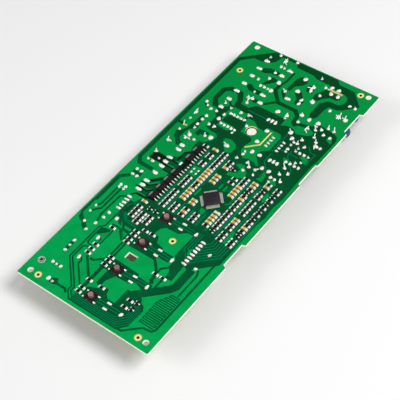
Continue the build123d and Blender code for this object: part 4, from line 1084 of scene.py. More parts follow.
@dataclass
class SolderJoints:
    """Fillets of solder with cut leads standing out of them, and the tinned pads."""

    sides: int = 16
    hollow: tuple[Pair, ...] = (
        (0.0, 0.0), (1.0, 0.0), (0.91, 0.12), (0.72, 0.30),
        (0.53, 0.54), (0.37, 0.80), (0.22, 0.97), (0.0, 1.0))
    dome: tuple[Pair, ...] = (
        (0.0, 0.0), (1.0, 0.0), (0.97, 0.17), (0.86, 0.42),
        (0.68, 0.66), (0.45, 0.86), (0.22, 0.97), (0.0, 1.0))
    hollow_to: float = 0.75 * MM
    dome_from: float = 1.35 * MM
    form_spread: float = 0.2
    inset: float = 0.99                 # width over that of the plain lump
    stand: Pair = (0.6, 0.82)           # height over that of the plain lump
    oval_from: float = 1.15             # length over width at which a joint starts to count as oval
    oval_over: float = 0.25             # and how much farther it counts in full
    oval_slim: float = 0.24
    oval_power: float = 0.35
    wobble: float = 0.14
    lean: float = 0.09 * MM
    lead_radius: float = 0.34 * MM
    lead_sides: int = 6
    lead_rise: float = 0.45 * MM
    lead_foot: float = 0.45 * MM
    lead_share: float = 0.34            # radius over the joint's half width, at most
    lead_sway: float = 0.3              # sideways lean over height
    far_from: float = 100.0             # step along the board past which leads stand taller
    far_over: float = 20 * MM
    far_gain: float = 1.6
    bent_high: float = 0.75 * MM
    bent_low: float = 0.45 * MM
    bow: float = 0.25 * MM
    bent: tuple[tuple[Pair, Pair], ...] = (
        ((33.0, 218.0), (35.0, 214.5)), ((37.2, 218.6), (35.0, 214.5)), ((35.0, 214.8), (37.0, 210.6)),
        ((9.6, 186.6), (10.0, 180.8)), ((8.6, 171.6), (10.0, 168.6)), ((29.0, 170.0), (30.5, 166.6)),
        ((46.4, 170.0), (52.0, 168.0)), ((44.2, 202.0), (48.4, 201.8)), ((9.0, 152.4), (10.4, 148.6)),
        ((9.4, 149.2), (13.4, 150.0)), ((17.8, 159.2), (23.6, 158.8)), ((18.2, 164.6), (22.0, 160.2)),
        ((8.8, 138.2), (10.2, 135.8)), ((35.0, 266.0), (34.6, 260.8)), ((38.0, 260.2), (35.0, 261.6)),
        ((50.8, 237.8), (54.0, 235.6)), ((101.0, 240.0), (102.4, 233.6)), ((99.0, 236.2), (103.8, 235.0)),
        ((105.6, 239.4), (107.0, 233.8)), ((104.2, 236.4), (109.0, 235.4)), ((68.6, 252.8), (68.2, 247.2)),
        ((65.4, 249.0), (69.4, 249.6)), ((100.6, 224.8), (102.0, 221.0)), ((105.0, 225.2), (107.4, 220.8)),
        ((88.6, 216.2), (88.0, 211.2)), ((88.0, 212.2), (90.8, 210.2)), ((91.6, 219.4), (95.0, 215.8)),
        ((96.6, 212.8), (98.0, 209.0)), ((100.2, 208.2), (102.4, 204.8)), ((102.6, 204.0), (104.0, 199.8)),
        ((78.6, 206.8), (82.0, 203.6)), ((68.2, 218.8), (68.6, 213.8)), ((94.2, 176.8), (97.8, 173.8)),
        ((72.0, 165.0), (75.0, 161.6)), ((80.2, 160.2), (82.4, 162.8)), ((100.6, 163.8), (101.6, 160.6)),
    )
    dam: Point = (3.0 * MM, 0.42 * MM, 0.14 * MM)
    rows: tuple[tuple[float, float, float, int], ...] = ((21.5, 80.6, 3.03, 4), (90.0, 68.3, 3.0, 7))
    pad_profile: tuple[Pair, ...] = ((0.0, 0.0), (1.0, 0.0), (0.93, 0.55), (0.6, 0.95), (0.0, 1.05))
    pad_share: float = 0.44
    bore: float = 0.95 * MM
    flange: float = 1.7 * MM
    groove: float = 1.95 * MM
    seed: int = 5

    def build(self) -> None:
        """Makes the joints, the dams, the pads and the eyelet."""
        self.joints()
        self.dams()
        self.pads()
        self.eyelet()

    def joints(self) -> None:
        """Joints: radius falls as height grows, in a hollow curve for small ones and a full one for large.

        Each joint's rings lie between the two curves by its size, stretched to its oval and wobbled by slow
        waves round it. Then come the cut leads, and the bent ones, which are bowed strokes of wire.
        """
        found = solids("solder_joints")
        centres, sizes = boxes_of(found)
        feet = centres - sizes * (0.0, 0.0, 0.5)
        rng = np.random.default_rng(self.seed)
        count, angle = len(found), round_angles(self.sides)
        half = sizes[:, :2] / 2 * self.inset
        oval = np.clip((half[:, 0] / half[:, 1] - self.oval_from) / self.oval_over, 0, 1)
        half[:, 1] *= 1 - self.oval_slim * oval
        around = squarish(angle, (1 - self.oval_power * oval)[:, None, None])
        full = np.clip((half.max(axis=1) - self.hollow_to) / (self.dome_from - self.hollow_to), 0, 1)
        full = np.clip(full + rng.normal(0, self.form_spread, count), 0, 1)[:, None, None]
        rings = (1 - full) * np.array(self.hollow) + full * np.array(self.dome)
        reach = np.ones((count, self.sides))
        for lobes in (2, 3, 5):
            reach += self.wobble / lobes * 2 * rng.uniform(0.3, 1.0, (count, 1)) * np.cos(
                lobes * angle + rng.uniform(0, 2 * math.pi, (count, 1)))
        radius = rings[:, :, 0, None] * (1 + (reach[:, None] - 1) * (rings[:, :, 0, None] > 0.3))
        lean = rng.normal(0, self.lean, (count, 1, 2)) * rings[:, :, 1, None]
        top = sizes[:, 2] * rng.uniform(*self.stand, count)
        points = np.empty((count, rings.shape[1], self.sides, 3))
        points[..., :2] = (feet[:, None, None, :2] + radius[..., None] * half[:, None, None] * around[:, None]
                           + lean[:, :, None])
        points[..., 2] = feet[:, 2, None, None] + rings[:, :, 1, None] * top[:, None, None]
        shape = Shape().add(points.reshape(count, -1, 3), [ring_faces(rings.shape[1], self.sides)])
        tips = np.column_stack([feet[:, :2] + lean[:, -1], feet[:, 2] + top])
        self.leads(shape, tips, half.min(axis=1), rng)
        t = np.linspace(0, 1, 5)
        for stroke in self.bent:
            start, end = np.column_stack([place(stroke), (self.bent_high, self.bent_low)])
            path = start + t[:, None] * (end - start)
            path[:, 2] += self.bow * np.sin(math.pi * t)
            shape.tube(path, self.lead_radius, unit(np.cross(end - start, (0, 0, 1))), self.lead_sides)
        shape.piece("soldered_joints", [Finish.SOLDER], "solder", ["solder_joints"], 60)

    def leads(self, shape: Shape, tips: np.ndarray, narrow: np.ndarray, rng: np.random.Generator) -> None:
        """Cut leads standing out of the joints: short in the near half, taller and leaning in the far half.

        Each ring is the lead's middle, moved sideways by the sway as it rises, plus the radius round it.

        Args:
            shape: Shape that takes them.
            tips: Tops of the joints.
            narrow: Half width of each joint.
            rng: Source of the small differences.
        """
        far = np.clip((tips[:, 1] - place((0, self.far_from))[1]) / self.far_over, 0, 1)
        tall = self.far_gain * rng.uniform(0.0, 1.0, len(tips)) ** 3
        rise = self.lead_rise * (0.5 + 0.5 * far + far * tall)
        radius = np.minimum(self.lead_radius, narrow * self.lead_share)
        sway = rng.normal(0, self.lead_sway, (len(tips), 2)) * rise[:, None]
        around = squarish(round_angles(self.lead_sides))
        out, up = np.array([(0, -1), (1, -1), (1, 0.75), (0.62, 1.0), (0, 0.94)]).T
        points = np.empty((len(tips), len(out), self.lead_sides, 3))
        points[..., :2] = (tips[:, None, None, :2] + out[:, None, None] * radius[:, None, None, None] * around
                           + np.clip(up, 0, 1)[:, None, None] * sway[:, None, None])
        points[..., 2] = (tips[:, 2, None] + np.where(up < 0, self.lead_foot, rise[:, None]) * up)[..., None]
        shape.add(points.reshape(len(tips), -1, 3), [ring_faces(len(out), self.lead_sides)])

    def dams(self) -> None:
        """Dark resin between the pins of the two signal rows."""
        seats = np.array([(x, first + pitch * (i + 0.5))
                          for x, first, pitch, gaps in self.rows for i in range(gaps)])
        middles = np.column_stack([place(seats), np.full(len(seats), COPPER_TOP + 0.05 * MM)])
        shape = Shape().boxes(middles, self.dam, 0.05 * MM)
        shape.piece("resin_dams", [Finish.FLUX], "lacquered_copper")

    def pads(self) -> None:
        """Crowned solder on the bare pads: rings of a squarish outline inside each pad, higher inwards."""
        found = solids("tinned_pads")
        centres, sizes = boxes_of(found)
        across, height = np.array(self.pad_profile).T
        outline = squarish(round_angles(self.sides), 0.35) * sizes[:, None, :2] * self.pad_share
        points = np.empty((len(found), len(across), self.sides, 3))
        points[..., :2] = centres[:, None, None, :2] + across[:, None, None] * outline[:, None]
        points[..., 2] = (centres[:, 2, None] + (height - 0.5) * sizes[:, 2, None])[..., None]
        shape = Shape().add(points.reshape(len(found), -1, 3), [ring_faces(len(across), self.sides)])
        shape.piece("crowned_pads", [Finish.SOLDER], "solder", ["tinned_pads"], 60)

    def eyelet(self) -> None:
        """Eyelet: a bright soldered ring, a dark groove and a raised inner flange round an open bore."""
        solid = solids("earth_eyelet")[0]
        outer, rise, seat = solid.size[0] / 2 * 0.97, solid.size[2], solid.seat(solid.low[2])
        t = np.linspace(0, math.pi, 7)
        wall, near, far = self.bore + 0.15 * MM, self.flange - 0.1 * MM, self.groove + 0.1 * MM

        def arch(inner: float, wide: float, heights: np.ndarray) -> np.ndarray:
            """Half circle from a wide radius in to an inner one, at given heights."""
            return np.column_stack([(inner + wide) / 2 + (wide - inner) / 2 * np.cos(t), heights * rise])

        ring = arch(self.groove, outer, 0.5 * np.sin(t) ** 0.8)
        flange = arch(self.bore, self.flange, 0.3 + 0.65 * np.sin(t) ** 0.7)
        ditch, foot, top = 0.15 * rise, -1.55 * MM, 0.32 * rise
        shape = Shape()
        for profile, finish in (
                (np.vstack([ring, (self.groove, 0.0), (outer, 0.0)]), 0),
                ([(near, 0.0), (far, 0.0), (far, ditch), (near, ditch), (near, 0.0)], 1),
                (np.vstack([flange, (self.bore, 0.2 * rise), (self.flange, 0.2 * rise), flange[:1]]), 2),
                ([(self.bore, top), (self.bore, foot), (wall, foot), (wall, top), (self.bore, top)], 1)):
            shape.turnings(profile, seat, 28, finish)
        shape.piece("rolled_eyelet", [Finish.SOLDER, Finish.FLUX, Finish.TAB], "solder", ["earth_eyelet"], 40)


@dataclass
class ChipParts:
    """Flat two-ended chips: bodies with broken edges, end caps and their hollow solder fillets."""

    cut: float = 0.07 * MM
    overlap: float = 0.02 * MM
    foot: float = 0.03 * MM

    def bodies(self, node: str, name: str, finish: Finish, slot: str) -> np.ndarray:
        """Replaces the plain bodies of a node.

        Args:
            node: Node of the bodies.
            name: Name of the piece.
            finish: Its finish.
            slot: Its material slot; not used.

        Returns:
            Middles of the bodies.
        """
        centres, sizes = boxes_of(solids(node))
        Shape().boxes(centres, sizes, self.cut).piece(name, [finish], slot, [node])
        return centres

    def terminals(self, middles: np.ndarray) -> None:
        """End caps and fillets: cap level to the chip's top, then a hollow slope down to the pad.

        Args:
            middles: Middles of all the chips, which tell each terminal's inner side.
        """
        shape = Shape()
        for solid in solids("chip_terminals"):
            _, inner, turn = solid.side_of(middles[nearest(middles, solid.centre)][0])
            length, width, height = solid.size
            cap, top, lap = 0.45 * length, height + self.overlap, -self.overlap
            outline = [(lap, 0.0), (length, 0.0), (length, self.foot), (0.86 * length, 0.12 * height),
                       (0.70 * length, 0.34 * height), (0.57 * length, 0.72 * height),
                       (cap + 0.05 * MM, 0.95 * top), (cap - 0.04 * MM, top), (0.03 * MM, top),
                       (lap, 0.93 * top)]
            shape.prisms(outline, width, np.array((inner, solid.centre[1], solid.low[2])), turn)
        shape.piece("chip_end_caps", [Finish.CAP], "solder", ["chip_terminals"], 32)

    def build(self) -> None:
        """Makes all the chips."""
        black = self.bodies("chip_resistors", "resistor_chips", Finish.GLAZE, "resistor_body")
        tan = self.bodies("chip_capacitors", "capacitor_chips", Finish.TAN, "capacitor_body")
        white = self.bodies("resonator", "resonator_chip", Finish.WHITE_CERAMIC, "ceramic_white")
        self.terminals(np.concatenate([black, tan, white]))


def gull_wing(start: float, height: float, reach: float, foot: float, thick: float) -> list[Pair]:
    """Outline of a lead that leaves a body level, bends down and ends in a flat foot.

    Args:
        start: X where it leaves the body.
        height: Height of its level part.
        reach: X where its foot ends.
        foot: Length of the foot.
        thick: Thickness of the metal.

    Returns:
        Closed outline in X and Z.
    """
    heel = reach - foot
    knee = start + (heel - start) * 0.45
    return [(start, height), (start, height + thick), (knee, height + thick), (knee + thick, height),
            (heel + thick * 0.3, thick * 1.5), (heel + thick, thick), (reach, thick), (reach, 0.0),
            (heel, 0.0), (heel - thick * 0.9, thick * 0.8), (knee - thick * 0.2, height - thick * 0.1),
            (knee - thick, height)]


def drafted_body(shape: Shape, centre: np.ndarray, size: np.ndarray, draft: float, cut: float,
                 turn: float = 0.0) -> None:
    """Moulded body whose sides lean in above and below its parting line.

    Rings are rectangles with cut corners: each ring is the half size less its own draft.

    Args:
        shape: Shape that takes it.
        centre: Middle of the body.
        size: Its sides.
        draft: How far the top and bottom edges lean in.
        cut: Cut of the upright corners.
        turn: Degrees about Z.
    """
    levels = np.array([-0.5, -0.5, -0.42, 0.05, 0.42, 0.5, 0.5])
    leans = np.array([0.7, 0.7, 0.45, 0.0, 0.8, 1.5, 1.5]) * draft
    spread = np.array([0, 1, 1, 1, 1, 1, 0])[:, None, None]
    corners = np.repeat(np.array([(1, -1), (1, 1), (-1, 1), (-1, -1)]), 2, axis=0)
    trims = np.tile(np.array([(1, 0), (0, 1), (0, 1), (1, 0)]), (2, 1)) * cut
    rings = np.empty((len(levels), len(corners), 3))
    rings[..., :2] = corners * (size[:2] / 2 - leans[:, None, None] - trims) * spread
    rings[..., 2] = (levels * size[2])[:, None]
    shape.add(centre + turned(rings.reshape(1, -1, 3), turn), [ring_faces(len(rings), len(corners))])


@dataclass
class Microcontroller:
    """Square chip turned on the board, with gull-wing leads on all sides and a polished corner dimple."""

    turn: float = 45.0
    leads: int = 16
    pitch: float = 0.5 * MM
    lead_width: float = 0.22 * MM
    body_side: float = 10.0 * MM
    height: float = 1.1 * MM
    reach: float = 1.0 * MM
    dimple: float = 0.55 * MM
    dimple_inset: float = 1.5 * MM
    draft: float = 0.12 * MM
    cut: float = 0.45 * MM
    lead_height: float = 0.62 * MM
    lead_foot: float = 0.45 * MM
    lead_thick: float = 0.13 * MM
    pad: Point = (1.3 * MM, 0.275 * MM, 0.12 * MM)

    def build(self) -> None:
        """Body between its two parting tapers, a dimple in one corner, and four rows of leads on pads."""
        solid = solids("microcontroller")[0]
        edge, top, r = self.body_side / 2, solid.low[2] + self.height, self.dimple
        body, rows = Shape(), Shape()
        drafted_body(body, solid.seat(top - self.height / 2), np.array((2 * edge, 2 * edge, self.height)),
                     self.draft, self.cut, self.turn)
        corner = turned(np.array((self.dimple_inset - edge, self.dimple_inset - edge, 0.0)), self.turn)
        dimple = [(0, -0.02 * MM), (r, -0.02 * MM), (r, 0.012 * MM), (r * 0.9, 0.016 * MM), (0, 0.004 * MM)]
        body.turnings(dimple, solid.seat(top) + corner, 20, 1)
        body.piece("controller_body", [Finish.CHIP, Finish.DIMPLE], "chip_moulding", ["microcontroller"])
        tip = edge + self.reach
        outline = gull_wing(edge - 0.1 * MM, self.lead_height, tip, self.lead_foot, self.lead_thick)
        along = (np.arange(self.leads) - (self.leads - 1) / 2) * self.pitch
        row = np.column_stack([np.zeros(self.leads), along, np.zeros(self.leads)])
        for quarter in range(4):
            angle = self.turn + 90 * quarter
            rows.prisms(outline, self.lead_width, solid.seat(COPPER_TOP) + turned(row, angle), angle)
            pads = solid.seat(COPPER_TOP) + turned(row + (tip + 0.1 * MM, 0.0, 0.04 * MM), angle)
            rows.boxes(pads, self.pad, 0.03 * MM, 0, angle)
        rows.piece("controller_leads", [Finish.LEADS], "tinned_lead", ["microcontroller_leads"])


@dataclass
class SurfaceSemiconductors:
    """Driver triacs and small transistors with their tabs, leads and solder feet."""

    tab_from: float = 2.2 * MM
    toe: float = 0.25 * MM
    corner: float = 0.12 * MM
    pad_height: float = 0.12 * MM

    def row(self, bodies: str, leads: str, names: tuple[str, str], draft: float, height: float, thick: float,
            slim: float, foot: tuple[float, float]) -> None:
        """Replaces the bodies of a node and the leads of another.

        Args:
            bodies: Node of the bodies.
            leads: Node of their leads.
            names: Names of the two pieces.
            draft: Lean of the body's sides.
            height: Height at which the leads leave the body.
            thick: Thickness of the leads.
            slim: Width of the narrow leads over that of their pads.
            foot: Length of the solder foot over the lead's reach, and its width over the lead's.
        """
        shape, metal = Shape(), Shape()
        found = solids(bodies)
        for solid in found:
            drafted_body(shape, solid.centre, solid.size, draft, self.corner)
        middles, _ = boxes_of(found)
        for lead in solids(leads):
            near = found[nearest(middles, lead.centre)]
            way, _, turn = lead.side_of(near.centre[0])
            inner, outer = (near.high[0], lead.high[0]) if way > 0 else (near.low[0], lead.low[0])
            reach = abs(outer - inner)
            tab = lead.size[1] > self.tab_from
            width, toe = lead.size[1] * (0.96 if tab else slim), 0.0 if tab else self.toe
            outline = gull_wing(-0.15 * MM, height, reach * 0.92, reach * 0.42, thick)
            metal.prisms(outline, width, np.array((inner, lead.centre[1], COPPER_TOP)), turn, 2 if tab else 0)
            length = reach * foot[0] + toe
            pad = np.array((outer + way * (toe - length / 2), lead.centre[1], COPPER_TOP + 0.05 * MM))
            metal.boxes(pad, (length, width * foot[1], self.pad_height), 0.045 * MM, 2 if tab else 1)
        shape.piece(names[0], [Finish.BLACK], "black_moulding", [bodies])
        metal.piece(names[1], [Finish.TINNED, Finish.SOLDER, Finish.TAB], "tinned_lead", [leads])

    def build(self) -> None:
        """Makes both kinds."""
        self.row("triacs", "triac_leads", ("triac_bodies", "triac_tabs_and_leads"),
                 0.14 * MM, 0.55 * MM, 0.24 * MM, 0.66, (0.6, 1.12))
        self.row("small_transistors", "small_transistor_leads", ("transistor_bodies", "transistor_leads"),
                 0.08 * MM, 0.38 * MM, 0.13 * MM, 0.92, (0.8, 1.7))


@dataclass
class PushSwitches:
    """Four push switches: moulded case with corner studs and a collar, and a domed stem that travels."""

    count: int = 4
    inner: float = 1.78 * MM
    collar: float = 2.35 * MM
    stud: float = 0.42 * MM
    stud_spread: float = 2.45 * MM
    trim_rise: float = 0.14 * MM
    round_over: float = 0.22 * MM
    dish: float = 0.05 * MM
    skirt: float = 0.06 * MM
    lead_height: float = 0.34 * MM
    lead_thick: float = 0.2 * MM
    blob_height: float = 0.3 * MM

    def stem(self, number: int) -> None:
        """Stem: straight wall, rounded rim and a shallow dish on top.

        Args:
            number: Number of the switch.
        """
        node = f"switch_stem_{number}"
        solid = solids(node)[0]
        r, low, high = solid.size[0] / 2, solid.low[2], solid.high[2]
        rim = np.array((r, high)) - quarter_bend(self.round_over)
        profile = np.vstack([(0, low), (r, low), rim, (r * 0.78, high), (r * 0.55, high - self.dish),
                             (0, high - 1.4 * self.dish)])
        shape = Shape().turnings(profile, solid.seat(0.0), 32)
        shape.piece(f"push_stem_{number}", [Finish.STEM], "switch_stem", [node], 45, f"push_button_{number}")

    def trim(self) -> None:
        """Collars and corner studs on the cases, metal covers folded down two sides, and soldered feet."""
        shape, feet = Shape(), Shape()
        cases = [solids(f"switch_case_{number}")[0] for number in range(1, self.count + 1)]
        t = np.linspace(0, math.pi, 6)
        half = (self.collar - self.inner) / 2
        ring = np.column_stack([self.inner + half - np.cos(t) * half, self.trim_rise * np.sin(t)])
        ring = np.vstack([(self.inner, -0.1 * MM), ring, (self.collar, -0.1 * MM), (self.inner, -0.1 * MM)])
        stud = [(0, -0.05 * MM), (self.stud, -0.05 * MM), (self.stud, 0.06 * MM),
                (self.stud * 0.6, 0.12 * MM), (0, self.trim_rise)]
        corners = self.stud_spread * np.array([(x, y, 0) for x in (-1, 1) for y in (-1, 1)])
        for solid in cases:
            seat = solid.seat(solid.high[2])
            shape.turnings(ring, seat, 28)
            shape.turnings(stud, seat + corners, 12)
            for side in (-1, 1):
                wall = solid.centre + np.array((0.0, side * (solid.size[1] + self.skirt) / 2, 0.0))
                feet.boxes(wall, (solid.size[0] * 0.8, self.skirt, solid.size[2] * 0.8), 0.01 * MM, 2)
        for lead in solids("switch_leads"):
            way, inner, turn = lead.side_of(cases[0].centre[0])
            length, width, _ = lead.size
            outline = gull_wing(-0.1 * MM, self.lead_height, length * 0.96, length * 0.6, self.lead_thick)
            feet.prisms(outline, width * 0.9, np.array((inner, lead.centre[1], COPPER_TOP)), turn)
            blob = lead.seat(COPPER_TOP + 0.16 * MM) + (way * 0.22 * length, 0.0, 0.0)
            feet.boxes(blob, (length * 0.7, width * 1.3, self.blob_height), 0.11 * MM, 1)
        shape.piece("switch_trim", [Finish.SWITCH], "switch_housing", sharp=40)
        feet.piece("switch_feet", [Finish.TINNED, Finish.SOLDER, Finish.COVER], "tinned_lead",
                   ["switch_leads"])

    def build(self) -> None:
        """Makes the stems and trim and dresses the cases."""
        for number in range(1, self.count + 1):
            dress_nodes(Finish.SWITCH, f"switch_case_{number}")
            self.stem(number)
        self.trim()


# ---------------------------------------------------------------- sub-assemblies under the board
@dataclass
class Windings:
    """Choke coils as single layers of round wire, and the taped transformer winding."""

    wire: float = 0.42 * MM
    points_per_turn: int = 24

    def build(self) -> None:
        """Coils: a rounded rectangle climbed at a steady rate, a wire's width each turn."""
        shape = Shape()
        for solid in solids("choke_windings"):
            turns = int(solid.size[2] / (2.05 * self.wire)) - 1
            t = np.linspace(0, turns * 2 * math.pi, turns * self.points_per_turn + 1)
            level = solid.centre[:2] + squarish(t, 0.6) * (solid.size[:2] / 2 - self.wire)
            climb = solid.low[2] + self.wire + (solid.size[2] - 2 * self.wire) * t / t[-1]
            shape.tube(np.column_stack([level, climb]), self.wire, (0.0, 0.0, 1.0), 6)
        shape.piece("choke_coils", [Finish.ENAMEL], "enamelled_copper", ["choke_windings"], 60)
        dress_nodes(Finish.FERRITE, "transformer_core", "choke_core")
        dress_nodes(Finish.BLACK_NYLON, "transformer_bobbin", "choke_base")
        dress_nodes(Finish.TAPE, "transformer_winding")


@dataclass
class RoundCapacitors:
    """Electrolytic cans: shrunk sleeve with a rolled groove and a bare scored top inside the rim."""

    rim: float = 0.9 * MM
    lip: float = 1.3 * MM
    groove: float = 0.35 * MM
    groove_from: float = 1.3 * MM
    groove_half: float = 0.5 * MM
    sunk: float = 0.18 * MM
    score: float = 0.25 * MM
    sides: int = 36

    def build(self) -> None:
        """Sleeve: foot, groove, straight wall and rounded rim. Top: a disc inside it, scored crosswise."""
        shape = Shape()
        for solid in solids("electrolytic_capacitors"):
            r, high, low = solid.size[0] / 2, solid.high[2], solid.low[2]
            seat, disc, floor = solid.seat(0.0), r - self.lip, low + self.sunk
            bend = np.array((r, low)) + quarter_bend(self.rim) * (-1, 1)
            start = high - self.groove_from
            wall = [(0, high), (r, high), (r, start), (r - self.groove, start - self.groove_half),
                    (r, start - 2 * self.groove_half)]
            inner = [(disc, low + 0.05 * MM), (disc, low + 0.25 * MM), (0, low + 0.25 * MM)]
            top = [(0, low + 0.4 * MM), (disc, low + 0.4 * MM), (disc, floor), (0, floor - 0.02 * MM)]
            shape.turnings(np.vstack([wall, bend, inner]), seat, self.sides)
            shape.turnings(top, seat, self.sides, 1)
            mark = (1.5 * disc, self.score, 0.08 * MM)
            for turn in (0.0, 90.0):
                shape.boxes(solid.seat(floor - 0.03 * MM), mark, 0.03 * MM, 1, turn)
        shape.piece("electrolytic_cans", [Finish.SLEEVE, Finish.ALUMINIUM], "capacitor_sleeve",
                    ["electrolytic_capacitors"], 35)


@dataclass
class AxialParts:
    """Axial resistors and diodes with necked bodies and bent round leads, and the bare wire links."""

    wire: float = 0.33 * MM
    bend: float = 0.7 * MM
    link_bend: float = 0.3 * MM
    link_inset: float = 0.4 * MM
    inset: float = 0.3 * MM

    def body(self, shape: Shape, solid: Solid, neck: float) -> tuple[np.ndarray, np.ndarray]:
        """Body turned round its own axis, thicker at its ends.

        Args:
            shape: Shape that takes it.
            solid: The plain body.
            neck: Radius of the middle over that of the ends.

        Returns:
            The two end points of the body.
        """
        axis, half, r = solid.axis, solid.half_length, solid.size[2] / 2
        end = np.array([(0, 1), (0.55, 1), (0.92, 0.9), (1, 0.74), (neck, 0.5)]) * (r, half)
        shape.turnings(np.vstack([end * (1, -1), end[::-1]]), solid.centre, 16, 0, axis)
        return solid.centre - axis * half, solid.centre + axis * half

    def build(self) -> None:
        """Bodies, then a lead from each body's end to the hole that its plain lead stands in."""
        resistors, diodes, wires = Shape(), Shape(), Shape()
        ends = []
        for node, shape, neck in (("axial_resistors", resistors, 0.84), ("axial_diodes", diodes, 1.0)):
            for solid in solids(node):
                ends += self.body(shape, solid, neck)
        ends = np.array(ends)
        for lead in solids("axial_leads"):
            tops = lead.points[lead.points[:, 2] > UNDER - 0.05 * MM]
            hole = (tops.min(axis=0) + tops.max(axis=0)) / 2
            hole[2] = UNDER
            end = ends[nearest(ends, lead.centre)]
            run = unit((end - hole) * (1, 1, 0))
            corners = [end + run * self.inset, (hole[0], hole[1], end[2]), hole]
            wires.tube(rounded_path(corners, self.bend), self.wire, np.cross(run, (0, 0, 1)))
        for link in solids("wire_links"):
            axis = link.axis
            half = link.half_length - self.link_inset
            a, b = link.centre - axis * half, link.centre + axis * half
            corners = [(*a[:2], UNDER), a, b, (*b[:2], UNDER)]
            wires.tube(rounded_path(corners, self.link_bend), self.wire, np.cross(axis, (0, 0, 1)))
        resistors.piece("necked_resistors", [Finish.BANDED], "resistor_coating", ["axial_resistors"])
        diodes.piece("moulded_diodes", [Finish.DIODE], "black_moulding", ["axial_diodes"])
        wires.piece("bent_wires", [Finish.TINNED], "tinned_lead", ["axial_leads", "wire_links"])


@dataclass
class MainsParts:
    """Relays, film capacitors, connectors, power semiconductors, coated discs and the rest below."""

    fullness: float = 0.35

    def disc(self, node: str, name: str, finish: Finish, slot: str) -> None:
        """Coated disc on edge: radius by a flattened sine over its thickness.

        Args:
            node: Node of the disc.
            name: Name of the piece.
            finish: Its finish.
            slot: Its material slot; not used.
        """
        solid = solids(node)[0]
        t = np.linspace(0, math.pi, 13)
        profile = np.column_stack([np.sin(t) ** self.fullness, -np.cos(t)]) * solid.size[:2] / 2
        shape = Shape().turnings(profile, solid.centre, 32, 0, (0.0, 1.0, 0.0))
        shape.piece(name, [finish], slot, [node], 60)

    def build(self) -> None:
        """Makes the discs and dresses the carried-over nodes."""
        self.disc("varistor", "varistor_disc", Finish.VARISTOR, "varistor_coating")
        self.disc("safety_capacitor", "safety_disc", Finish.DISC, "disc_coating")
        dress_nodes(Finish.RELAY, "relay_drum_forward", "relay_drum_reverse", "relay_spin", "relay_supply",
                    "relay_heater", "relay_door")
        dress_nodes(Finish.CASE, "film_capacitors")
        dress_nodes(Finish.NYLON, "mains_connector", "load_connectors", "signal_connectors", "support_pillar")
        dress_nodes(Finish.TINNED, "mains_connector_pins", "load_connector_pins", "signal_connector_pins",
                    "power_leads", "supply_chip_leads", "disc_leads")
        dress_nodes(Finish.ALUMINIUM, "heat_sinks")
        dress_nodes(Finish.BLACK, "power_semiconductors", "supply_chip")
        # painted shade: the black washer stands in for the shade in the gap round the support pillar
        dress_nodes(Finish.BLACK_NYLON, "pillar_washer")


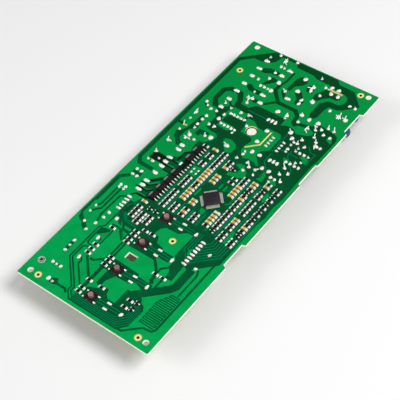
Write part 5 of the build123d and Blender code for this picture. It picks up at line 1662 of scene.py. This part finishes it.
# ---------------------------------------------------------------- studio
@dataclass
class Studio:
    """Plain pale floor, soft lamps and the camera."""

    floor_level: float
    floor_half: float = 3.0
    lamps: tuple[tuple[str, Point, float, float], ...] = (
        ("key_lamp", (0.75, 0.25, 1.05), 0.55, 12.5), ("fill_lamp", (-0.75, -0.85, 0.8), 0.7, 6.5),
        ("rim_lamp", (0.1, 1.2, 0.25), 0.4, 1.2))
    daylight: float = 0.28
    eye: Point = (0.30569, -0.32202, 0.50799)
    right: Point = (0.78429, 0.61358, -0.09172)
    up: Point = (-0.42635, 0.64045, 0.63879)
    back: Point = (0.45069, -0.46189, 0.76390)
    lens: float = 101.73
    sensor: float = 36.0

    def floor(self) -> None:
        """Level square floor, a pale matt grey with faint clouds."""
        mesh = bpy.data.meshes.new("studio_floor")
        h, z = self.floor_half, self.floor_level
        mesh.from_pydata([(-h, -h, z), (h, -h, z), (h, h, z), (-h, h, z)], [], [(0, 1, 2, 3)])
        graph = Graph("studio_floor")
        colour = graph.mix(graph.noise(0.6, 2.0), (0.90, 0.90, 0.90), (0.93, 0.93, 0.93))
        mesh.materials.append(graph.dress(colour, 0.9, specular=0.1))
        obj = bpy.data.objects.new("studio_floor", mesh)
        bpy.context.scene.collection.objects.link(obj)
        obj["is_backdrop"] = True

    def lamp(self, name: str, spot: Point, side: float, watts: float) -> None:
        """Square soft lamp aimed at the board.

        Args:
            name: Its name.
            spot: Where it hangs.
            side: Its side.
            watts: Its power.
        """
        light = bpy.data.lights.new(name, "AREA")
        light.size, light.energy = side, watts
        obj = bpy.data.objects.new(name, light)
        back = unit(spot)
        right = unit(np.cross((0, 0, 1), back))
        self.set_axes(obj, right, np.cross(back, right), back, spot)
        bpy.context.scene.collection.objects.link(obj)

    @staticmethod
    def set_axes(obj: bpy.types.Object, right: Sequence[float], up: Sequence[float], back: Sequence[float],
                 spot: Sequence[float]) -> None:
        """Places an object by its axes and its origin, which are the columns of its matrix.

        Args:
            obj: The object.
            right: Direction of its X.
            up: Direction of its Y.
            back: Direction of its Z.
            spot: Its origin.
        """
        rows = np.eye(4)
        rows[:3] = np.column_stack([right, up, back, spot])
        obj.matrix_world = Matrix(rows.tolist())

    def build(self) -> None:
        """Floor, lamps, world and camera."""
        self.floor()
        for lamp in self.lamps:
            self.lamp(*lamp)
        scene = bpy.context.scene
        world = bpy.data.worlds.new("studio_world")
        world.use_nodes = True
        sky = world.node_tree.nodes["Background"].inputs
        sky["Color"].default_value, sky["Strength"].default_value = (1.0, 1.0, 1.0, 1.0), self.daylight
        scene.world = world
        scene.view_settings.view_transform = "Standard"
        lens = bpy.data.cameras.new("camera")
        lens.lens, lens.sensor_width, lens.sensor_height = self.lens, self.sensor, self.sensor
        camera = bpy.data.objects.new("camera", lens)
        self.set_axes(camera, self.right, self.up, self.back, self.eye)
        scene.collection.objects.link(camera)
        scene.camera = camera


def main() -> None:
    """Builds the board's sub-assemblies in order, then the studio."""
    logging.basicConfig(level=logging.INFO, format="%(name)s: %(message)s")
    cad_box = [list(map(float, corner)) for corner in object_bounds()]
    for part in (BareBoard(), SolderJoints(), ChipParts(), Microcontroller(), SurfaceSemiconductors(),
                 PushSwitches(), Windings(), RoundCapacitors(), AxialParts(), MainsParts(),
                 Studio(cad_box[0][2])):
        part.build()
        log.info("%s is built", type(part).__name__)


if __name__ == "__main__":
    main()
